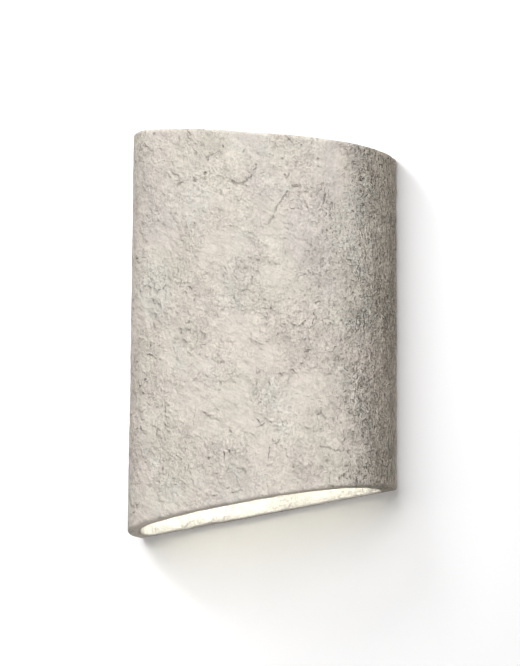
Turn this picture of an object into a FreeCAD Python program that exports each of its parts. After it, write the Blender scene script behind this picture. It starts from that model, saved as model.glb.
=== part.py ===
"""A wall light: a hand-built paper-pulp tube, open above and below, hung on a small steel wall bracket.

Millimetres, +Z up, +X to the viewer's right, -Y out of the wall towards the viewer.
The origin is the centre of the wall bracket's back face, so the wall is the plane y = 0.
Lengths named "from the wall" run along -Y.
"""

import FreeCAD
import Part

import math
import os

import Sketcher

Vector = FreeCAD.Vector

SIZES = {
    # Shade: a D-shaped tube, flat against the wall, whose two cuts slope towards each other to the right
    "shade_width": 262,
    "shade_depth": 90,
    "left_height": 388,
    "top_drop": 39,
    "bottom_rise": 34,
    "shade_below": 190,
    "shell_wall": 13,
    "back_wall": 8,
    "side_flat": 15,
    "end_radius": 63,
    "back_corner_radius": 4,
    "inner_corner_radius": 6,
    "outer_lip_radius": 3,
    "inner_lip_radius": 2,
    "rim_cut_margin": 20,
    # Window in the back wall, where the wall bracket sits
    "window_width": 108,
    "window_height": 64,
    "window_corner_radius": 6,
    # Wall bracket: a strap with a cable hole, two slots for wall screws and two headed studs
    "strap_width": 96,
    "strap_height": 30,
    "strap_thickness": 2,
    "strap_corner_radius": 4,
    "cable_hole_radius": 8,
    "wall_slot_spacing": 44,
    "wall_slot_length": 10,
    "wall_slot_width": 4.6,
    "stud_spacing": 80,
    "stud_radius": 2.5,
    "stud_spigot_radius": 2,
    "stud_head_radius": 4.8,
    "stud_head_thickness": 1.8,
    "stud_head_gap": 0.25,
    # Carrier plate inside the back wall, with the keyholes that drop over the studs
    "plate_width": 140,
    "plate_height": 96,
    "plate_thickness": 1.5,
    "plate_corner_radius": 6,
    "keyhole_travel": 10,
    "keyhole_entry_radius": 5.6,
    "keyhole_clearance": 0.2,
    # Screws, washers and brass inserts that fasten the carrier plate to the back wall
    "screw_spacing_across": 122,
    "screw_spacing_up": 78,
    "screw_radius": 1.95,
    "screw_hole_radius": 2.25,
    "screw_head_radius": 3.8,
    "screw_head_height": 2.4,
    "screw_tip_gap": 0.8,
    "washer_radius": 4.6,
    "washer_thickness": 0.8,
    "insert_radius": 3,
    "insert_bore_radius": 2,
    "insert_length": 6,
    "insert_clearance": 0.05,
    # Rubber grommet for the supply cable
    "grommet_bore_radius": 4.2,
    "grommet_hole_radius": 6.5,
    "grommet_flange_radius": 9,
    "grommet_flange_thickness": 1.2,
    # Lampholder bracket: an L of sheet steel riveted to the carrier plate
    "lamp_from_wall": 43,
    "shelf_below": 104,
    "shelf_reach": 16,
    "bracket_width": 30,
    "bracket_thickness": 2,
    "bracket_bend_radius": 3,
    "bracket_corner_radius": 7,
    "leg_top_below": 17,
    "rivet_below": 24,
    "rivet_spacing": 18,
    "rivet_radius": 1.9,
    "rivet_head_radius": 3.3,
    "rivet_head_thickness": 1.3,
    # Hollow threaded nipple, toothed washer and nut that clamp the lampholder to the shelf
    "nipple_radius": 5,
    "nipple_bore_radius": 3.5,
    "nipple_above_shelf": 7,
    "nipple_below_shelf": 9,
    "nipple_clearance": 0.05,
    "lock_washer_radius": 8.5,
    "lock_washer_thickness": 0.8,
    "nut_across_corners": 16.2,
    "nut_height": 3.5,
    # Lampholder: dome, sleeve, porcelain core, two terminals, screw shell and centre contact
    "dome_radius": 14,
    "dome_wall": 1.8,
    "dome_height": 22,
    "dome_boss_radius": 7.6,
    "sleeve_top": 48,
    "sleeve_lip": 2,
    "sleeve_skirt": 6,
    "sleeve_fit": 0.1,
    "core_foot": 17,
    "core_radius": 10.5,
    "core_seat": 2,
    "core_flange": 2.5,
    "core_rim": 3.5,
    "core_bore_radius": 2.1,
    "terminal_offset": 5.5,
    "terminal_radius": 2,
    "terminal_bore_radius": 1.1,
    "terminal_above": 4,
    "terminal_below": 2,
    "shell_radius": 7,
    "shell_sheet": 0.6,
    "shell_gap": 0.3,
    "shell_top": 45,
    "contact_plate_radius": 3.2,
    "contact_plate_thickness": 1.2,
    "contact_pin_radius": 2,
    "contact_pin_length": 7,
    # Screw-base bulb: contact tip, insulator, cap, collar and opal globe
    "cap_clearance": 0.1,
    "tip_radius": 2.4,
    "tip_height": 1.2,
    "insulator_height": 2.3,
    "cap_height": 19,
    "collar_foot_radius": 8.4,
    "collar_height": 17.5,
    "collar_wall": 1.4,
    "globe_radius": 22.5,
    "globe_wall": 1.2,
    "globe_cut": 16,
    # Three-pole terminal block with its brass tubes and screws
    "block_above": 34,
    "block_width": 33,
    "block_height": 18,
    "block_base": 4,
    "block_depth": 13,
    "block_corner_radius": 1.4,
    "tower_width": 6.2,
    "pole_pitch": 11,
    "tube_radius": 2.3,
    "tube_bore_radius": 1.3,
    "tube_from_plate": 6.5,
    "clamp_screw_radius": 1.4,
    "clamp_screw_spacing": 9,
    "clamp_screw_sunk": 0.8,
    "block_screw_radius": 1.4,
    "block_screw_head_radius": 2.2,
    "block_screw_head_height": 1.5,
    # Wires and the woven sleeve that carries the two lamp wires
    "wire_radius": 0.9,
    "wire_gap": 0.2,
    "wire_pushed_in": 0.9,
    "wire_below_block": 3.6,
    "wire_below_terminal": 1.8,
    "earth_wire_straight": 5.4,
    "earth_wire_in_barrel": 1.8,
    "cord_sleeve_radius": 2.3,
    "cord_sleeve_bore_radius": 2,
    "cord_sleeve_across": 21,
    "cord_sleeve_from_wall": 16.5,
    "cord_sleeve_top_below": 24,
    "cord_bend_room": 18,
    "cord_loop_below_shelf": 36,
    # Earth tag and its screw on the carrier plate
    "earth_across": 26,
    "earth_below": 22,
    "tag_radius": 4.2,
    "tag_thickness": 0.8,
    "tag_barrel_radius": 1.7,
    "tag_barrel_length": 7,
    "tag_barrel_lift": 0.2,
    "tag_tongue_width": 2.6,
    "earth_screw_radius": 1.9,
    "earth_screw_head_radius": 3.4,
    "earth_screw_head_height": 2.2,
}

DOC = FreeCAD.newDocument("WallLight")
SHEET = DOC.addObject("Spreadsheet::Sheet", "Sizes")
NODES = []

# Levels worked out from the sheet. Depths run from the wall towards the viewer.
PLATE_FACE = "(Sizes.back_wall + Sizes.plate_thickness)"
LEG_FACE = f"({PLATE_FACE} + Sizes.bracket_thickness)"
STUD_HEAD = f"({PLATE_FACE} + Sizes.stud_head_gap)"
SCREW_HEAD = f"({PLATE_FACE} + Sizes.washer_thickness)"
TAG_FACE = f"({PLATE_FACE} + Sizes.tag_thickness)"
TAG_AXIS = f"({PLATE_FACE} + Sizes.tag_barrel_radius + Sizes.tag_barrel_lift)"
TUBE_DEPTH = f"({PLATE_FACE} + Sizes.tube_from_plate)"
BLOCK_FOOT = "(Sizes.block_above - Sizes.block_height / 2)"
HALF_WIDTH = "(Sizes.shade_width / 2)"
TOP_LEFT = "(Sizes.left_height - Sizes.shade_below)"
STUD_X = "(Sizes.stud_spacing / 2)"
SLOT_HALF = "(Sizes.stud_radius + Sizes.keyhole_clearance)"

# Levels of the lampholder and bulb above the shelf that carries them
CORE_SEAT = "(Sizes.dome_height + Sizes.core_seat)"
CORE_TOP = f"({CORE_SEAT} + Sizes.core_flange)"
SHELL_FOOT = f"({CORE_TOP} + Sizes.shell_gap)"
CONTACT_TOP = f"({SHELL_FOOT} + Sizes.contact_plate_thickness)"
CAP_FOOT = f"({CONTACT_TOP} + Sizes.tip_height + Sizes.insulator_height)"
CAP_TOP = f"({CAP_FOOT} + Sizes.cap_height)"
COLLAR_TOP = f"({CAP_TOP} + Sizes.collar_height)"
CAP_RADIUS = "(Sizes.shell_radius - Sizes.cap_clearance)"
GLOBE_MOUTH = "sqrt(Sizes.globe_radius ^ 2 - Sizes.globe_cut ^ 2)"
GLOBE_BORE = "(Sizes.globe_radius - Sizes.globe_wall)"
GLOBE_INNER_MOUTH = f"sqrt({GLOBE_BORE} ^ 2 - Sizes.globe_cut ^ 2)"
SLEEVE_INNER = "(Sizes.dome_radius - Sizes.dome_wall)"
NIPPLE_FIT = "(Sizes.nipple_radius + Sizes.nipple_clearance)"


def fill_sheet():
    """Write every driving size to its own named cell."""
    for row, (name, size) in enumerate(SIZES.items(), start=1):
        SHEET.set(f"A{row}", name)
        SHEET.set(f"B{row}", str(size))
        SHEET.setAlias(f"B{row}", name)
    DOC.recompute()


def number(formula):
    """The present value of a formula of sheet sizes."""
    return float(SHEET.evalExpression(formula))


# ---------------------------------------------------------------- sketches


def add_body(name):
    """A named body that becomes one node."""
    body = DOC.addObject("PartDesign::Body", name)
    body.Label = name
    NODES.append(body)
    return body


def add_sketch(body, role, offset="0"):
    """A sketch on one of the body's own origin planes, moved along that plane's normal."""
    sketch = body.newObject("Sketcher::SketchObject", body.Name + "_sketch")
    plane = next(f for f in body.Origin.OriginFeatures if f.Role == role)
    sketch.AttachmentSupport = [(plane, "")]
    sketch.MapMode = "FlatFace"
    if offset != "0":
        sketch.setExpression("AttachmentOffset.Base.z", offset)
    return sketch


def bind(sketch, constraint, formula):
    """Add a dimension that follows the sheet."""
    index = sketch.addConstraint(constraint)
    sketch.setExpression(f"Constraints[{index}]", formula)


def fix_point(sketch, curve, point, across, up):
    """Hold a point of a curve at its distances from the sketch's origin."""
    for kind, axis, formula in (("DistanceX", -2, across), ("DistanceY", -1, up)):
        if formula == "0":
            sketch.addConstraint(Sketcher.Constraint("PointOnObject", curve, point, axis))
        else:
            value = number(formula)
            bind(sketch, Sketcher.Constraint(kind, -1, 1, curve, point, value), formula)


def fix_radius(sketch, curve, formula):
    """Hold the radius of a circle or an arc."""
    bind(sketch, Sketcher.Constraint("Radius", curve, number(formula)), formula)


def add_circle(sketch, across, up, radius):
    """A circle about a fixed centre."""
    centre = Vector(number(across), number(up), 0)
    curve = sketch.addGeometry(Part.Circle(centre, Vector(0, 0, 1), number(radius)), False)
    fix_point(sketch, curve, 3, across, up)
    fix_radius(sketch, curve, radius)


def arc_between(start, end, radius, turn):
    """The short arc from start to end, anticlockwise for turn 1 and clockwise for turn -1."""
    chord = end - start
    rise = math.sqrt(max(radius**2 - (chord.Length / 2) ** 2, 0))
    side = Vector(-chord.y, chord.x, 0).normalize()
    centre = (start + end) * 0.5 + side * rise * turn
    first, last = (start, end) if turn > 0 else (end, start)
    angles = [math.atan2(point.y - centre.y, point.x - centre.x) for point in (first, last)]
    if angles[1] < angles[0]:
        angles[1] += 2 * math.pi
    circle = Part.Circle(centre, Vector(0, 0, 1), radius)
    return Part.ArcOfCircle(circle, angles[0], angles[1])


def add_loop(sketch, corners):
    """A closed outline. A corner is (across, up), with a radius and a turn added where an arc leaves it."""
    points = [Vector(number(corner[0]), number(corner[1]), 0) for corner in corners]
    curves = []
    for index, corner in enumerate(corners):
        start = points[index]
        end = points[(index + 1) % len(points)]
        if len(corner) == 2:
            curve = sketch.addGeometry(Part.LineSegment(start, end), False)
            curves.append((curve, 1, 2))
            continue
        radius, turn = corner[2:]
        curve = sketch.addGeometry(arc_between(start, end, number(radius), turn), False)
        fix_radius(sketch, curve, radius)
        curves.append((curve, 1, 2) if turn > 0 else (curve, 2, 1))
    for index, (curve, first, last) in enumerate(curves):
        following, its_first, _ = curves[(index + 1) % len(curves)]
        sketch.addConstraint(Sketcher.Constraint("Coincident", curve, last, following, its_first))
        fix_point(sketch, curve, first, *corners[index][:2])


def add_rounded_box(sketch, low, high, radius):
    """A rectangle between two corners, given as (across, up), with round corners."""
    left, foot = low
    right, top = high
    add_loop(sketch, [
        (f"{left} + {radius}", foot),
        (f"{right} - {radius}", foot, radius, 1),
        (right, f"{foot} + {radius}"),
        (right, f"{top} - {radius}", radius, 1),
        (f"{right} - {radius}", top),
        (f"{left} + {radius}", top, radius, 1),
        (left, f"{top} - {radius}"),
        (left, f"{foot} + {radius}", radius, 1),
    ])


def add_slot(sketch, centres, radius, upright):
    """A slot with half-round ends about two centres, given as (across, up), from the left or from below."""
    first, second = [Vector(number(x), number(y), 0) for x, y in centres]
    size = number(radius)
    turn = math.pi / 2 if upright else 0
    arcs = []
    for centre, start in ((first, turn + math.pi / 2), (second, turn - math.pi / 2)):
        circle = Part.Circle(centre, Vector(0, 0, 1), size)
        arcs.append(sketch.addGeometry(Part.ArcOfCircle(circle, start, start + math.pi), False))
    for arc, (across, up) in zip(arcs, centres):
        fix_point(sketch, arc, 3, across, up)
        fix_radius(sketch, arc, radius)
    ends = [sketch.getPoint(arc, point) for arc in arcs for point in (1, 2)]
    lines = []
    for start, end in ((ends[1], ends[2]), (ends[3], ends[0])):
        lines.append(sketch.addGeometry(Part.LineSegment(start, end), False))
    ring = [arcs[0], lines[0], arcs[1], lines[1]]
    for here, there in zip(ring, ring[1:] + ring[:1]):
        sketch.addConstraint(Sketcher.Constraint("Tangent", here, 2, there, 1))


# ---------------------------------------------------------------- features


def add_pad(body, sketch, length, reverse=False, both_ways=False):
    """Give the sketch a thickness, along its plane's normal."""
    pad = body.newObject("PartDesign::Pad", body.Name + "_pad")
    pad.Profile = sketch
    pad.Reversed = reverse
    if both_ways:
        pad.SideType = "Symmetric"
    pad.setExpression("Length", length)
    DOC.recompute()
    return pad


def add_pocket(body, sketch, length=None, reverse=False):
    """Cut the sketch out, against its plane's normal. Without a length it goes right through."""
    before = body.Shape.Volume
    pocket = body.newObject("PartDesign::Pocket", body.Name + "_pocket")
    pocket.Profile = sketch
    pocket.Reversed = reverse
    if length is None:
        pocket.Type = "ThroughAll"
    else:
        pocket.setExpression("Length", length)
    DOC.recompute()
    if body.Shape.Volume >= before:
        raise RuntimeError(f"a pocket in {body.Label} cut nothing")
    return pocket


def add_revolution(body, corners, role="XZ_Plane", axis="V_Axis"):
    """Turn a closed profile of (radius, height) corners about the sketch's own axis."""
    sketch = add_sketch(body, role)
    add_loop(sketch, corners)
    turned = body.newObject("PartDesign::Revolution", body.Name + "_turned")
    turned.Profile = sketch
    turned.ReferenceAxis = (sketch, [axis])
    turned.Angle = 360
    DOC.recompute()
    return turned


def add_fillet(body, chosen, radius):
    """Round the edges that chosen picks out."""
    tip = body.Tip
    names = [f"Edge{n}" for n, edge in enumerate(tip.Shape.Edges, start=1) if chosen(edge)]
    fillet = body.newObject("PartDesign::Fillet", body.Name + "_fillet")
    fillet.Base = (tip, names)
    fillet.setExpression("Radius", radius)
    DOC.recompute()


def add_discs(body, centres, radius, start, length, bore=None):
    """Round pads, or rings where a bore is given, standing out of the wall from a depth."""
    sketch = add_sketch(body, "XZ_Plane", start)
    for across, up in centres:
        add_circle(sketch, across, up, radius)
        if bore:
            add_circle(sketch, across, up, bore)
    add_pad(body, sketch, length)


def cut_discs(body, centres, radius, start, length, towards_wall=False):
    """Round holes from a depth, out of the wall or back towards it."""
    sketch = add_sketch(body, "XZ_Plane", start)
    for across, up in centres:
        add_circle(sketch, across, up, radius)
    add_pocket(body, sketch, length, reverse=not towards_wall)


def stand_on_lamp_axis(feature):
    """Put a turned piece on the lamp's axis, its zero height on top of the shelf."""
    feature.setExpression("Placement.Base.y", "-Sizes.lamp_from_wall")
    feature.setExpression("Placement.Base.z", "-Sizes.shelf_below")


def mirrored(across, up):
    """The same place on both sides."""
    return [(f"-{across}", up), (across, up)]


# ---------------------------------------------------------------- shade


def add_d_outline(sketch, half, back, front, end_radius, corner_radius):
    """A D: straight back, short straight sides, round ends and one wide flat arc in front."""
    side = "Sizes.side_flat"
    reach = f"({half} - {end_radius})"
    rise = f"({front} - {side})"
    wide = f"(({reach}) ^ 2 + ({rise}) ^ 2 - {end_radius} ^ 2) / (2 * ({rise} - {end_radius}))"
    a, b, f, s = (number(text) for text in (half, back, front, side))
    e, c, w = (number(text) for text in (end_radius, corner_radius, wide))
    normal = Vector(0, 0, 1)
    lean = math.atan2(w - (f - s), a - e)
    centre = Vector(0, w - f, 0)
    right_end = Part.Circle(Vector(a - e, -s, 0), normal, e)
    left_end = Part.Circle(Vector(e - a, -s, 0), normal, e)
    right_corner = Part.Circle(Vector(a - c, -b - c, 0), normal, c)
    left_corner = Part.Circle(Vector(c - a, -b - c, 0), normal, c)
    ring = [
        Part.LineSegment(Vector(a - c, -b, 0), Vector(c - a, -b, 0)),
        Part.ArcOfCircle(left_corner, math.pi / 2, math.pi),
        Part.LineSegment(Vector(-a, -b - c, 0), Vector(-a, -s, 0)),
        Part.ArcOfCircle(left_end, math.pi, math.pi + lean),
        Part.ArcOfCircle(Part.Circle(centre, normal, w), math.pi + lean, 2 * math.pi - lean),
        Part.ArcOfCircle(right_end, 2 * math.pi - lean, 2 * math.pi),
        Part.LineSegment(Vector(a, -s, 0), Vector(a, -b - c, 0)),
        Part.ArcOfCircle(right_corner, 0, math.pi / 2),
    ]
    curves = [sketch.addGeometry(piece, False) for piece in ring]
    for here, there in zip(curves, curves[1:] + curves[:1]):
        sketch.addConstraint(Sketcher.Constraint("Tangent", here, 2, there, 1))
    inset = f"({half} - {corner_radius})"
    for corner, across in ((curves[1], f"-{inset}"), (curves[7], inset)):
        fix_point(sketch, corner, 3, across, f"-({back} + {corner_radius})")
        fix_radius(sketch, corner, corner_radius)
    for end, across in ((curves[3], f"-{reach}"), (curves[5], reach)):
        fix_point(sketch, end, 3, across, f"-{side}")
        fix_radius(sketch, end, end_radius)
    fix_radius(sketch, curves[4], wide)


def cut_rim(body, left, right, beyond):
    """Cut off what lies past the sloping line from one side to the other."""
    margin = "Sizes.rim_cut_margin"
    fall = f"(({left} - {right}) / Sizes.shade_width * {margin})"
    sketch = add_sketch(body, "XZ_Plane")
    low = [
        (f"-{HALF_WIDTH} - {margin}", f"{left} + {fall}"),
        (f"{HALF_WIDTH} + {margin}", f"{right} - {fall}"),
    ]
    high = [
        (f"{HALF_WIDTH} + {margin}", f"{right} - {fall} + {beyond}"),
        (f"-{HALF_WIDTH} - {margin}", f"{left} + {fall} + {beyond}"),
    ]
    add_loop(sketch, low + high)
    add_pocket(body, sketch, reverse=True)


def rim_middles(body, upwards):
    """Middle points of the outer and of the inner edges of the top or bottom cut."""
    facing = 1 if upwards else -1
    faces = [f for f in body.Shape.Faces if f.Surface.TypeId == "Part::GeomPlane"]
    rims = [f for f in faces if f.normalAt(0, 0).z * facing > 0.9 and f.BoundBox.XLength > number(HALF_WIDTH)]
    outer = rims[0].OuterWire
    inner = [wire for wire in rims[0].Wires if not wire.isSame(outer)]
    return [
        [edge.valueAt((edge.FirstParameter + edge.LastParameter) / 2) for edge in wire.Edges]
        for wire in (outer, inner[0])
    ]


def make_shade():
    """The paper-pulp shell with its window, insert sockets and rounded lips."""
    body = add_body("shade_shell")
    outline = add_sketch(body, "XY_Plane", "-Sizes.shade_below")
    corner = "Sizes.back_corner_radius"
    add_d_outline(outline, HALF_WIDTH, "0", "Sizes.shade_depth", "Sizes.end_radius", corner)
    add_pad(body, outline, "Sizes.left_height")
    hollow = add_sketch(body, "XY_Plane", "-Sizes.shade_below")
    inner_half = f"({HALF_WIDTH} - Sizes.shell_wall)"
    inner_front = "(Sizes.shade_depth - Sizes.shell_wall)"
    inner_end = "(Sizes.end_radius - Sizes.shell_wall)"
    add_d_outline(hollow, inner_half, "Sizes.back_wall", inner_front, inner_end, "Sizes.inner_corner_radius")
    add_pocket(body, hollow, reverse=True)
    cut_rim(body, TOP_LEFT, f"({TOP_LEFT} - Sizes.top_drop)", "Sizes.top_drop")
    foot = "(-Sizes.shade_below)"
    cut_rim(body, foot, f"({foot} + Sizes.bottom_rise)", "(-Sizes.bottom_rise)")
    window = add_sketch(body, "XZ_Plane")
    low = ("-Sizes.window_width / 2", "-Sizes.window_height / 2")
    high = ("Sizes.window_width / 2", "Sizes.window_height / 2")
    add_rounded_box(window, low, high, "Sizes.window_corner_radius")
    add_pocket(body, window, "Sizes.back_wall", reverse=True)
    socket = "(Sizes.insert_radius + Sizes.insert_clearance)"
    cut_discs(body, plate_screw_places(), socket, "Sizes.back_wall", "Sizes.insert_length", towards_wall=True)
    top_outer, top_inner = rim_middles(body, upwards=True)
    foot_outer, foot_inner = rim_middles(body, upwards=False)
    add_fillet(body, lambda edge: passes_any(edge, top_outer + foot_outer), "Sizes.outer_lip_radius")
    add_fillet(body, lambda edge: passes_any(edge, top_inner + foot_inner), "Sizes.inner_lip_radius")


def passes_any(edge, points):
    """True where the edge runs through one of the points."""
    return any(edge.distToShape(Part.Vertex(point))[0] < 0.001 for point in points)


def plate_screw_places():
    """The four corners where the carrier plate is screwed to the back wall."""
    across = "Sizes.screw_spacing_across / 2"
    up = "Sizes.screw_spacing_up / 2"
    return mirrored(across, up) + mirrored(across, f"-{up}")


# ---------------------------------------------------------------- wall bracket and carrier plate


def make_wall_strap():
    """The flat strap that is screwed to the wall."""
    body = add_body("wall_strap")
    sketch = add_sketch(body, "XZ_Plane")
    low = ("-Sizes.strap_width / 2", "-Sizes.strap_height / 2")
    high = ("Sizes.strap_width / 2", "Sizes.strap_height / 2")
    add_rounded_box(sketch, low, high, "Sizes.strap_corner_radius")
    add_pad(body, sketch, "Sizes.strap_thickness")
    cut_discs(body, [("0", "0")], "Sizes.cable_hole_radius", "0", "Sizes.strap_thickness")
    cut_discs(body, mirrored(STUD_X, "0"), "Sizes.stud_spigot_radius", "0", "Sizes.strap_thickness")
    slots = add_sketch(body, "XZ_Plane")
    end_radius = "Sizes.wall_slot_width / 2"
    half = "(Sizes.wall_slot_length / 2 - Sizes.wall_slot_width / 2)"
    for side in ("-1", "1"):
        middle = f"{side} * Sizes.wall_slot_spacing / 2"
        add_slot(slots, [(f"{middle} - {half}", "0"), (f"{middle} + {half}", "0")], end_radius, upright=False)
    add_pocket(body, slots, "Sizes.strap_thickness", reverse=True)


def make_hang_studs():
    """Two headed studs riveted into the strap."""
    body = add_body("hang_studs")
    places = mirrored(STUD_X, "0")
    shank = f"({STUD_HEAD} - Sizes.strap_thickness)"
    add_discs(body, places, "Sizes.stud_spigot_radius", "0", "Sizes.strap_thickness")
    add_discs(body, places, "Sizes.stud_radius", "Sizes.strap_thickness", shank)
    add_discs(body, places, "Sizes.stud_head_radius", STUD_HEAD, "Sizes.stud_head_thickness")


def make_carrier_plate():
    """The plate inside the back wall that hangs on the studs by its two keyholes."""
    body = add_body("carrier_plate")
    sketch = add_sketch(body, "XZ_Plane", "Sizes.back_wall")
    low = ("-Sizes.plate_width / 2", "-Sizes.plate_height / 2")
    high = ("Sizes.plate_width / 2", "Sizes.plate_height / 2")
    add_rounded_box(sketch, low, high, "Sizes.plate_corner_radius")
    add_pad(body, sketch, "Sizes.plate_thickness")
    through = "Sizes.plate_thickness"
    entry = mirrored(STUD_X, "-Sizes.keyhole_travel")
    cut_discs(body, entry, "Sizes.keyhole_entry_radius", "Sizes.back_wall", through)
    slots = add_sketch(body, "XZ_Plane", "Sizes.back_wall")
    for (across, foot), (_, top) in zip(entry, mirrored(STUD_X, "0")):
        add_slot(slots, [(across, foot), (across, top)], SLOT_HALF, upright=True)
    add_pocket(body, slots, through, reverse=True)
    cut_discs(body, [("0", "0")], "Sizes.grommet_hole_radius", "Sizes.back_wall", through)
    cut_discs(body, plate_screw_places(), "Sizes.screw_hole_radius", "Sizes.back_wall", through)
    cut_discs(body, rivet_places(), "Sizes.rivet_radius", "Sizes.back_wall", through)
    cut_discs(body, block_screw_places(), "Sizes.block_screw_radius", "Sizes.back_wall", through)
    cut_discs(body, [earth_place()], "Sizes.earth_screw_radius", "Sizes.back_wall", through)


def make_plate_fasteners():
    """Brass inserts moulded into the back wall, with their screws and washers."""
    places = plate_screw_places()
    inserts = add_body("shell_inserts")
    depth = "(Sizes.back_wall - Sizes.insert_length)"
    length = "Sizes.insert_length"
    add_discs(inserts, places, "Sizes.insert_radius", depth, length, bore="Sizes.insert_bore_radius")
    washers = add_body("plate_washers")
    bore = "Sizes.screw_hole_radius"
    add_discs(washers, places, "Sizes.washer_radius", PLATE_FACE, "Sizes.washer_thickness", bore=bore)
    screws = add_body("plate_screws")
    tip = f"({depth} + Sizes.screw_tip_gap)"
    add_discs(screws, places, "Sizes.screw_radius", tip, f"({SCREW_HEAD} - {tip})")
    add_discs(screws, places, "Sizes.screw_head_radius", SCREW_HEAD, "Sizes.screw_head_height")


def make_grommet():
    """A rubber ring with a groove that grips the carrier plate's cable hole."""
    body = add_body("cable_grommet")
    bore = "Sizes.grommet_bore_radius"
    neck = "Sizes.grommet_hole_radius"
    flange = "Sizes.grommet_flange_radius"
    back = "-(Sizes.back_wall - Sizes.grommet_flange_thickness)"
    front = f"-({PLATE_FACE} + Sizes.grommet_flange_thickness)"
    add_revolution(body, [
        (bore, front),
        (flange, front),
        (flange, f"-{PLATE_FACE}"),
        (neck, f"-{PLATE_FACE}"),
        (neck, "-Sizes.back_wall"),
        (flange, "-Sizes.back_wall"),
        (flange, back),
        (bore, back),
    ], role="XY_Plane")


# ---------------------------------------------------------------- lampholder bracket


def rivet_places():
    """The two rivets that join the bracket's leg to the carrier plate."""
    return mirrored("Sizes.rivet_spacing / 2", "-Sizes.rivet_below")


def make_holder_bracket():
    """Sheet steel bent to an L: a leg on the plate and a shelf under the lampholder."""
    body = add_body("holder_bracket")
    sketch = add_sketch(body, "YZ_Plane")
    outer_bend = "(Sizes.bracket_bend_radius + Sizes.bracket_thickness)"
    under = "(-Sizes.shelf_below - Sizes.bracket_thickness)"
    tip = "-(Sizes.lamp_from_wall + Sizes.shelf_reach)"
    add_loop(sketch, [
        (f"-{PLATE_FACE}", "-Sizes.leg_top_below"),
        (f"-{LEG_FACE}", "-Sizes.leg_top_below"),
        (f"-{LEG_FACE}", "-Sizes.shelf_below + Sizes.bracket_bend_radius", "Sizes.bracket_bend_radius", -1),
        (f"-({LEG_FACE} + Sizes.bracket_bend_radius)", "-Sizes.shelf_below"),
        (tip, "-Sizes.shelf_below"),
        (tip, under),
        (f"-({PLATE_FACE} + {outer_bend})", under, outer_bend, 1),
        (f"-{PLATE_FACE}", f"{under} + {outer_bend}"),
    ])
    add_pad(body, sketch, "Sizes.bracket_width", both_ways=True)
    hole = add_sketch(body, "XY_Plane", "-Sizes.shelf_below")
    add_circle(hole, "0", "-Sizes.lamp_from_wall", NIPPLE_FIT)
    add_pocket(body, hole, "Sizes.bracket_thickness")
    cut_discs(body, rivet_places(), "Sizes.rivet_radius", PLATE_FACE, "Sizes.bracket_thickness")
    front = number(tip)
    add_fillet(body, lambda edge: is_upright_at(edge, front), "Sizes.bracket_corner_radius")


def is_upright_at(edge, depth):
    """True for a vertical edge on the plane y = depth."""
    box = edge.BoundBox
    return box.XLength < 0.001 and box.YLength < 0.001 and abs(box.YMin - depth) < 0.001


def make_bracket_rivets():
    """Two rivets with a head on each side."""
    body = add_body("bracket_rivets")
    places = rivet_places()
    head = "Sizes.rivet_head_thickness"
    add_discs(body, places, "Sizes.rivet_radius", "Sizes.back_wall", f"({LEG_FACE} - Sizes.back_wall)")
    add_discs(body, places, "Sizes.rivet_head_radius", f"(Sizes.back_wall - {head})", head)
    add_discs(body, places, "Sizes.rivet_head_radius", LEG_FACE, head)


def make_nipple():
    """A hollow threaded tube through the shelf, with a toothed washer under it."""
    nipple = add_body("threaded_nipple")
    outer = "Sizes.nipple_radius"
    bore = "Sizes.nipple_bore_radius"
    low = "-(Sizes.bracket_thickness + Sizes.nipple_below_shelf)"
    add_revolution(nipple, [
        (bore, low),
        (outer, low),
        (outer, "Sizes.nipple_above_shelf"),
        (bore, "Sizes.nipple_above_shelf"),
    ])
    stand_on_lamp_axis(nipple)
    washer = add_body("lock_washer")
    under = "-Sizes.bracket_thickness"
    add_revolution(washer, [
        (NIPPLE_FIT, f"{under} - Sizes.lock_washer_thickness"),
        ("Sizes.lock_washer_radius", f"{under} - Sizes.lock_washer_thickness"),
        ("Sizes.lock_washer_radius", under),
        (NIPPLE_FIT, under),
    ])
    stand_on_lamp_axis(washer)


def make_lock_nut():
    """The hexagon nut that pulls the lampholder down on the shelf."""
    blank = DOC.addObject("Part::Prism", "nut_blank")
    blank.Polygon = 6
    blank.setExpression("Circumradius", "Sizes.nut_across_corners / 2")
    blank.setExpression("Height", "Sizes.nut_height")
    bore = DOC.addObject("Part::Cylinder", "nut_bore")
    bore.setExpression("Radius", NIPPLE_FIT)
    bore.setExpression("Height", "Sizes.nut_height")
    nut = DOC.addObject("Part::Cut", "lock_nut")
    nut.Base = blank
    nut.Tool = bore
    nut.Label = "lock_nut"
    nut.setExpression("Placement.Base.y", "-Sizes.lamp_from_wall")
    below = "Sizes.bracket_thickness + Sizes.lock_washer_thickness + Sizes.nut_height"
    nut.setExpression("Placement.Base.z", f"-(Sizes.shelf_below + {below})")
    NODES.append(nut)


# ---------------------------------------------------------------- lampholder


def make_dome():
    """The lampholder's cap, with a threaded boss on the nipple."""
    body = add_body("holder_dome")
    wall = "Sizes.dome_wall"
    outer = "Sizes.dome_radius"
    add_revolution(body, [
        (NIPPLE_FIT, "0"),
        (f"{outer} - 2 * {wall}", "0", f"2 * {wall}", 1),
        (outer, f"2 * {wall}"),
        (outer, "Sizes.dome_height"),
        (SLEEVE_INNER, "Sizes.dome_height"),
        (SLEEVE_INNER, f"2 * {wall}", wall, -1),
        (f"{outer} - 2 * {wall}", wall),
        ("Sizes.dome_boss_radius", wall),
        ("Sizes.dome_boss_radius", "Sizes.nipple_above_shelf"),
        (NIPPLE_FIT, "Sizes.nipple_above_shelf"),
    ])
    stand_on_lamp_axis(body)


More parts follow.
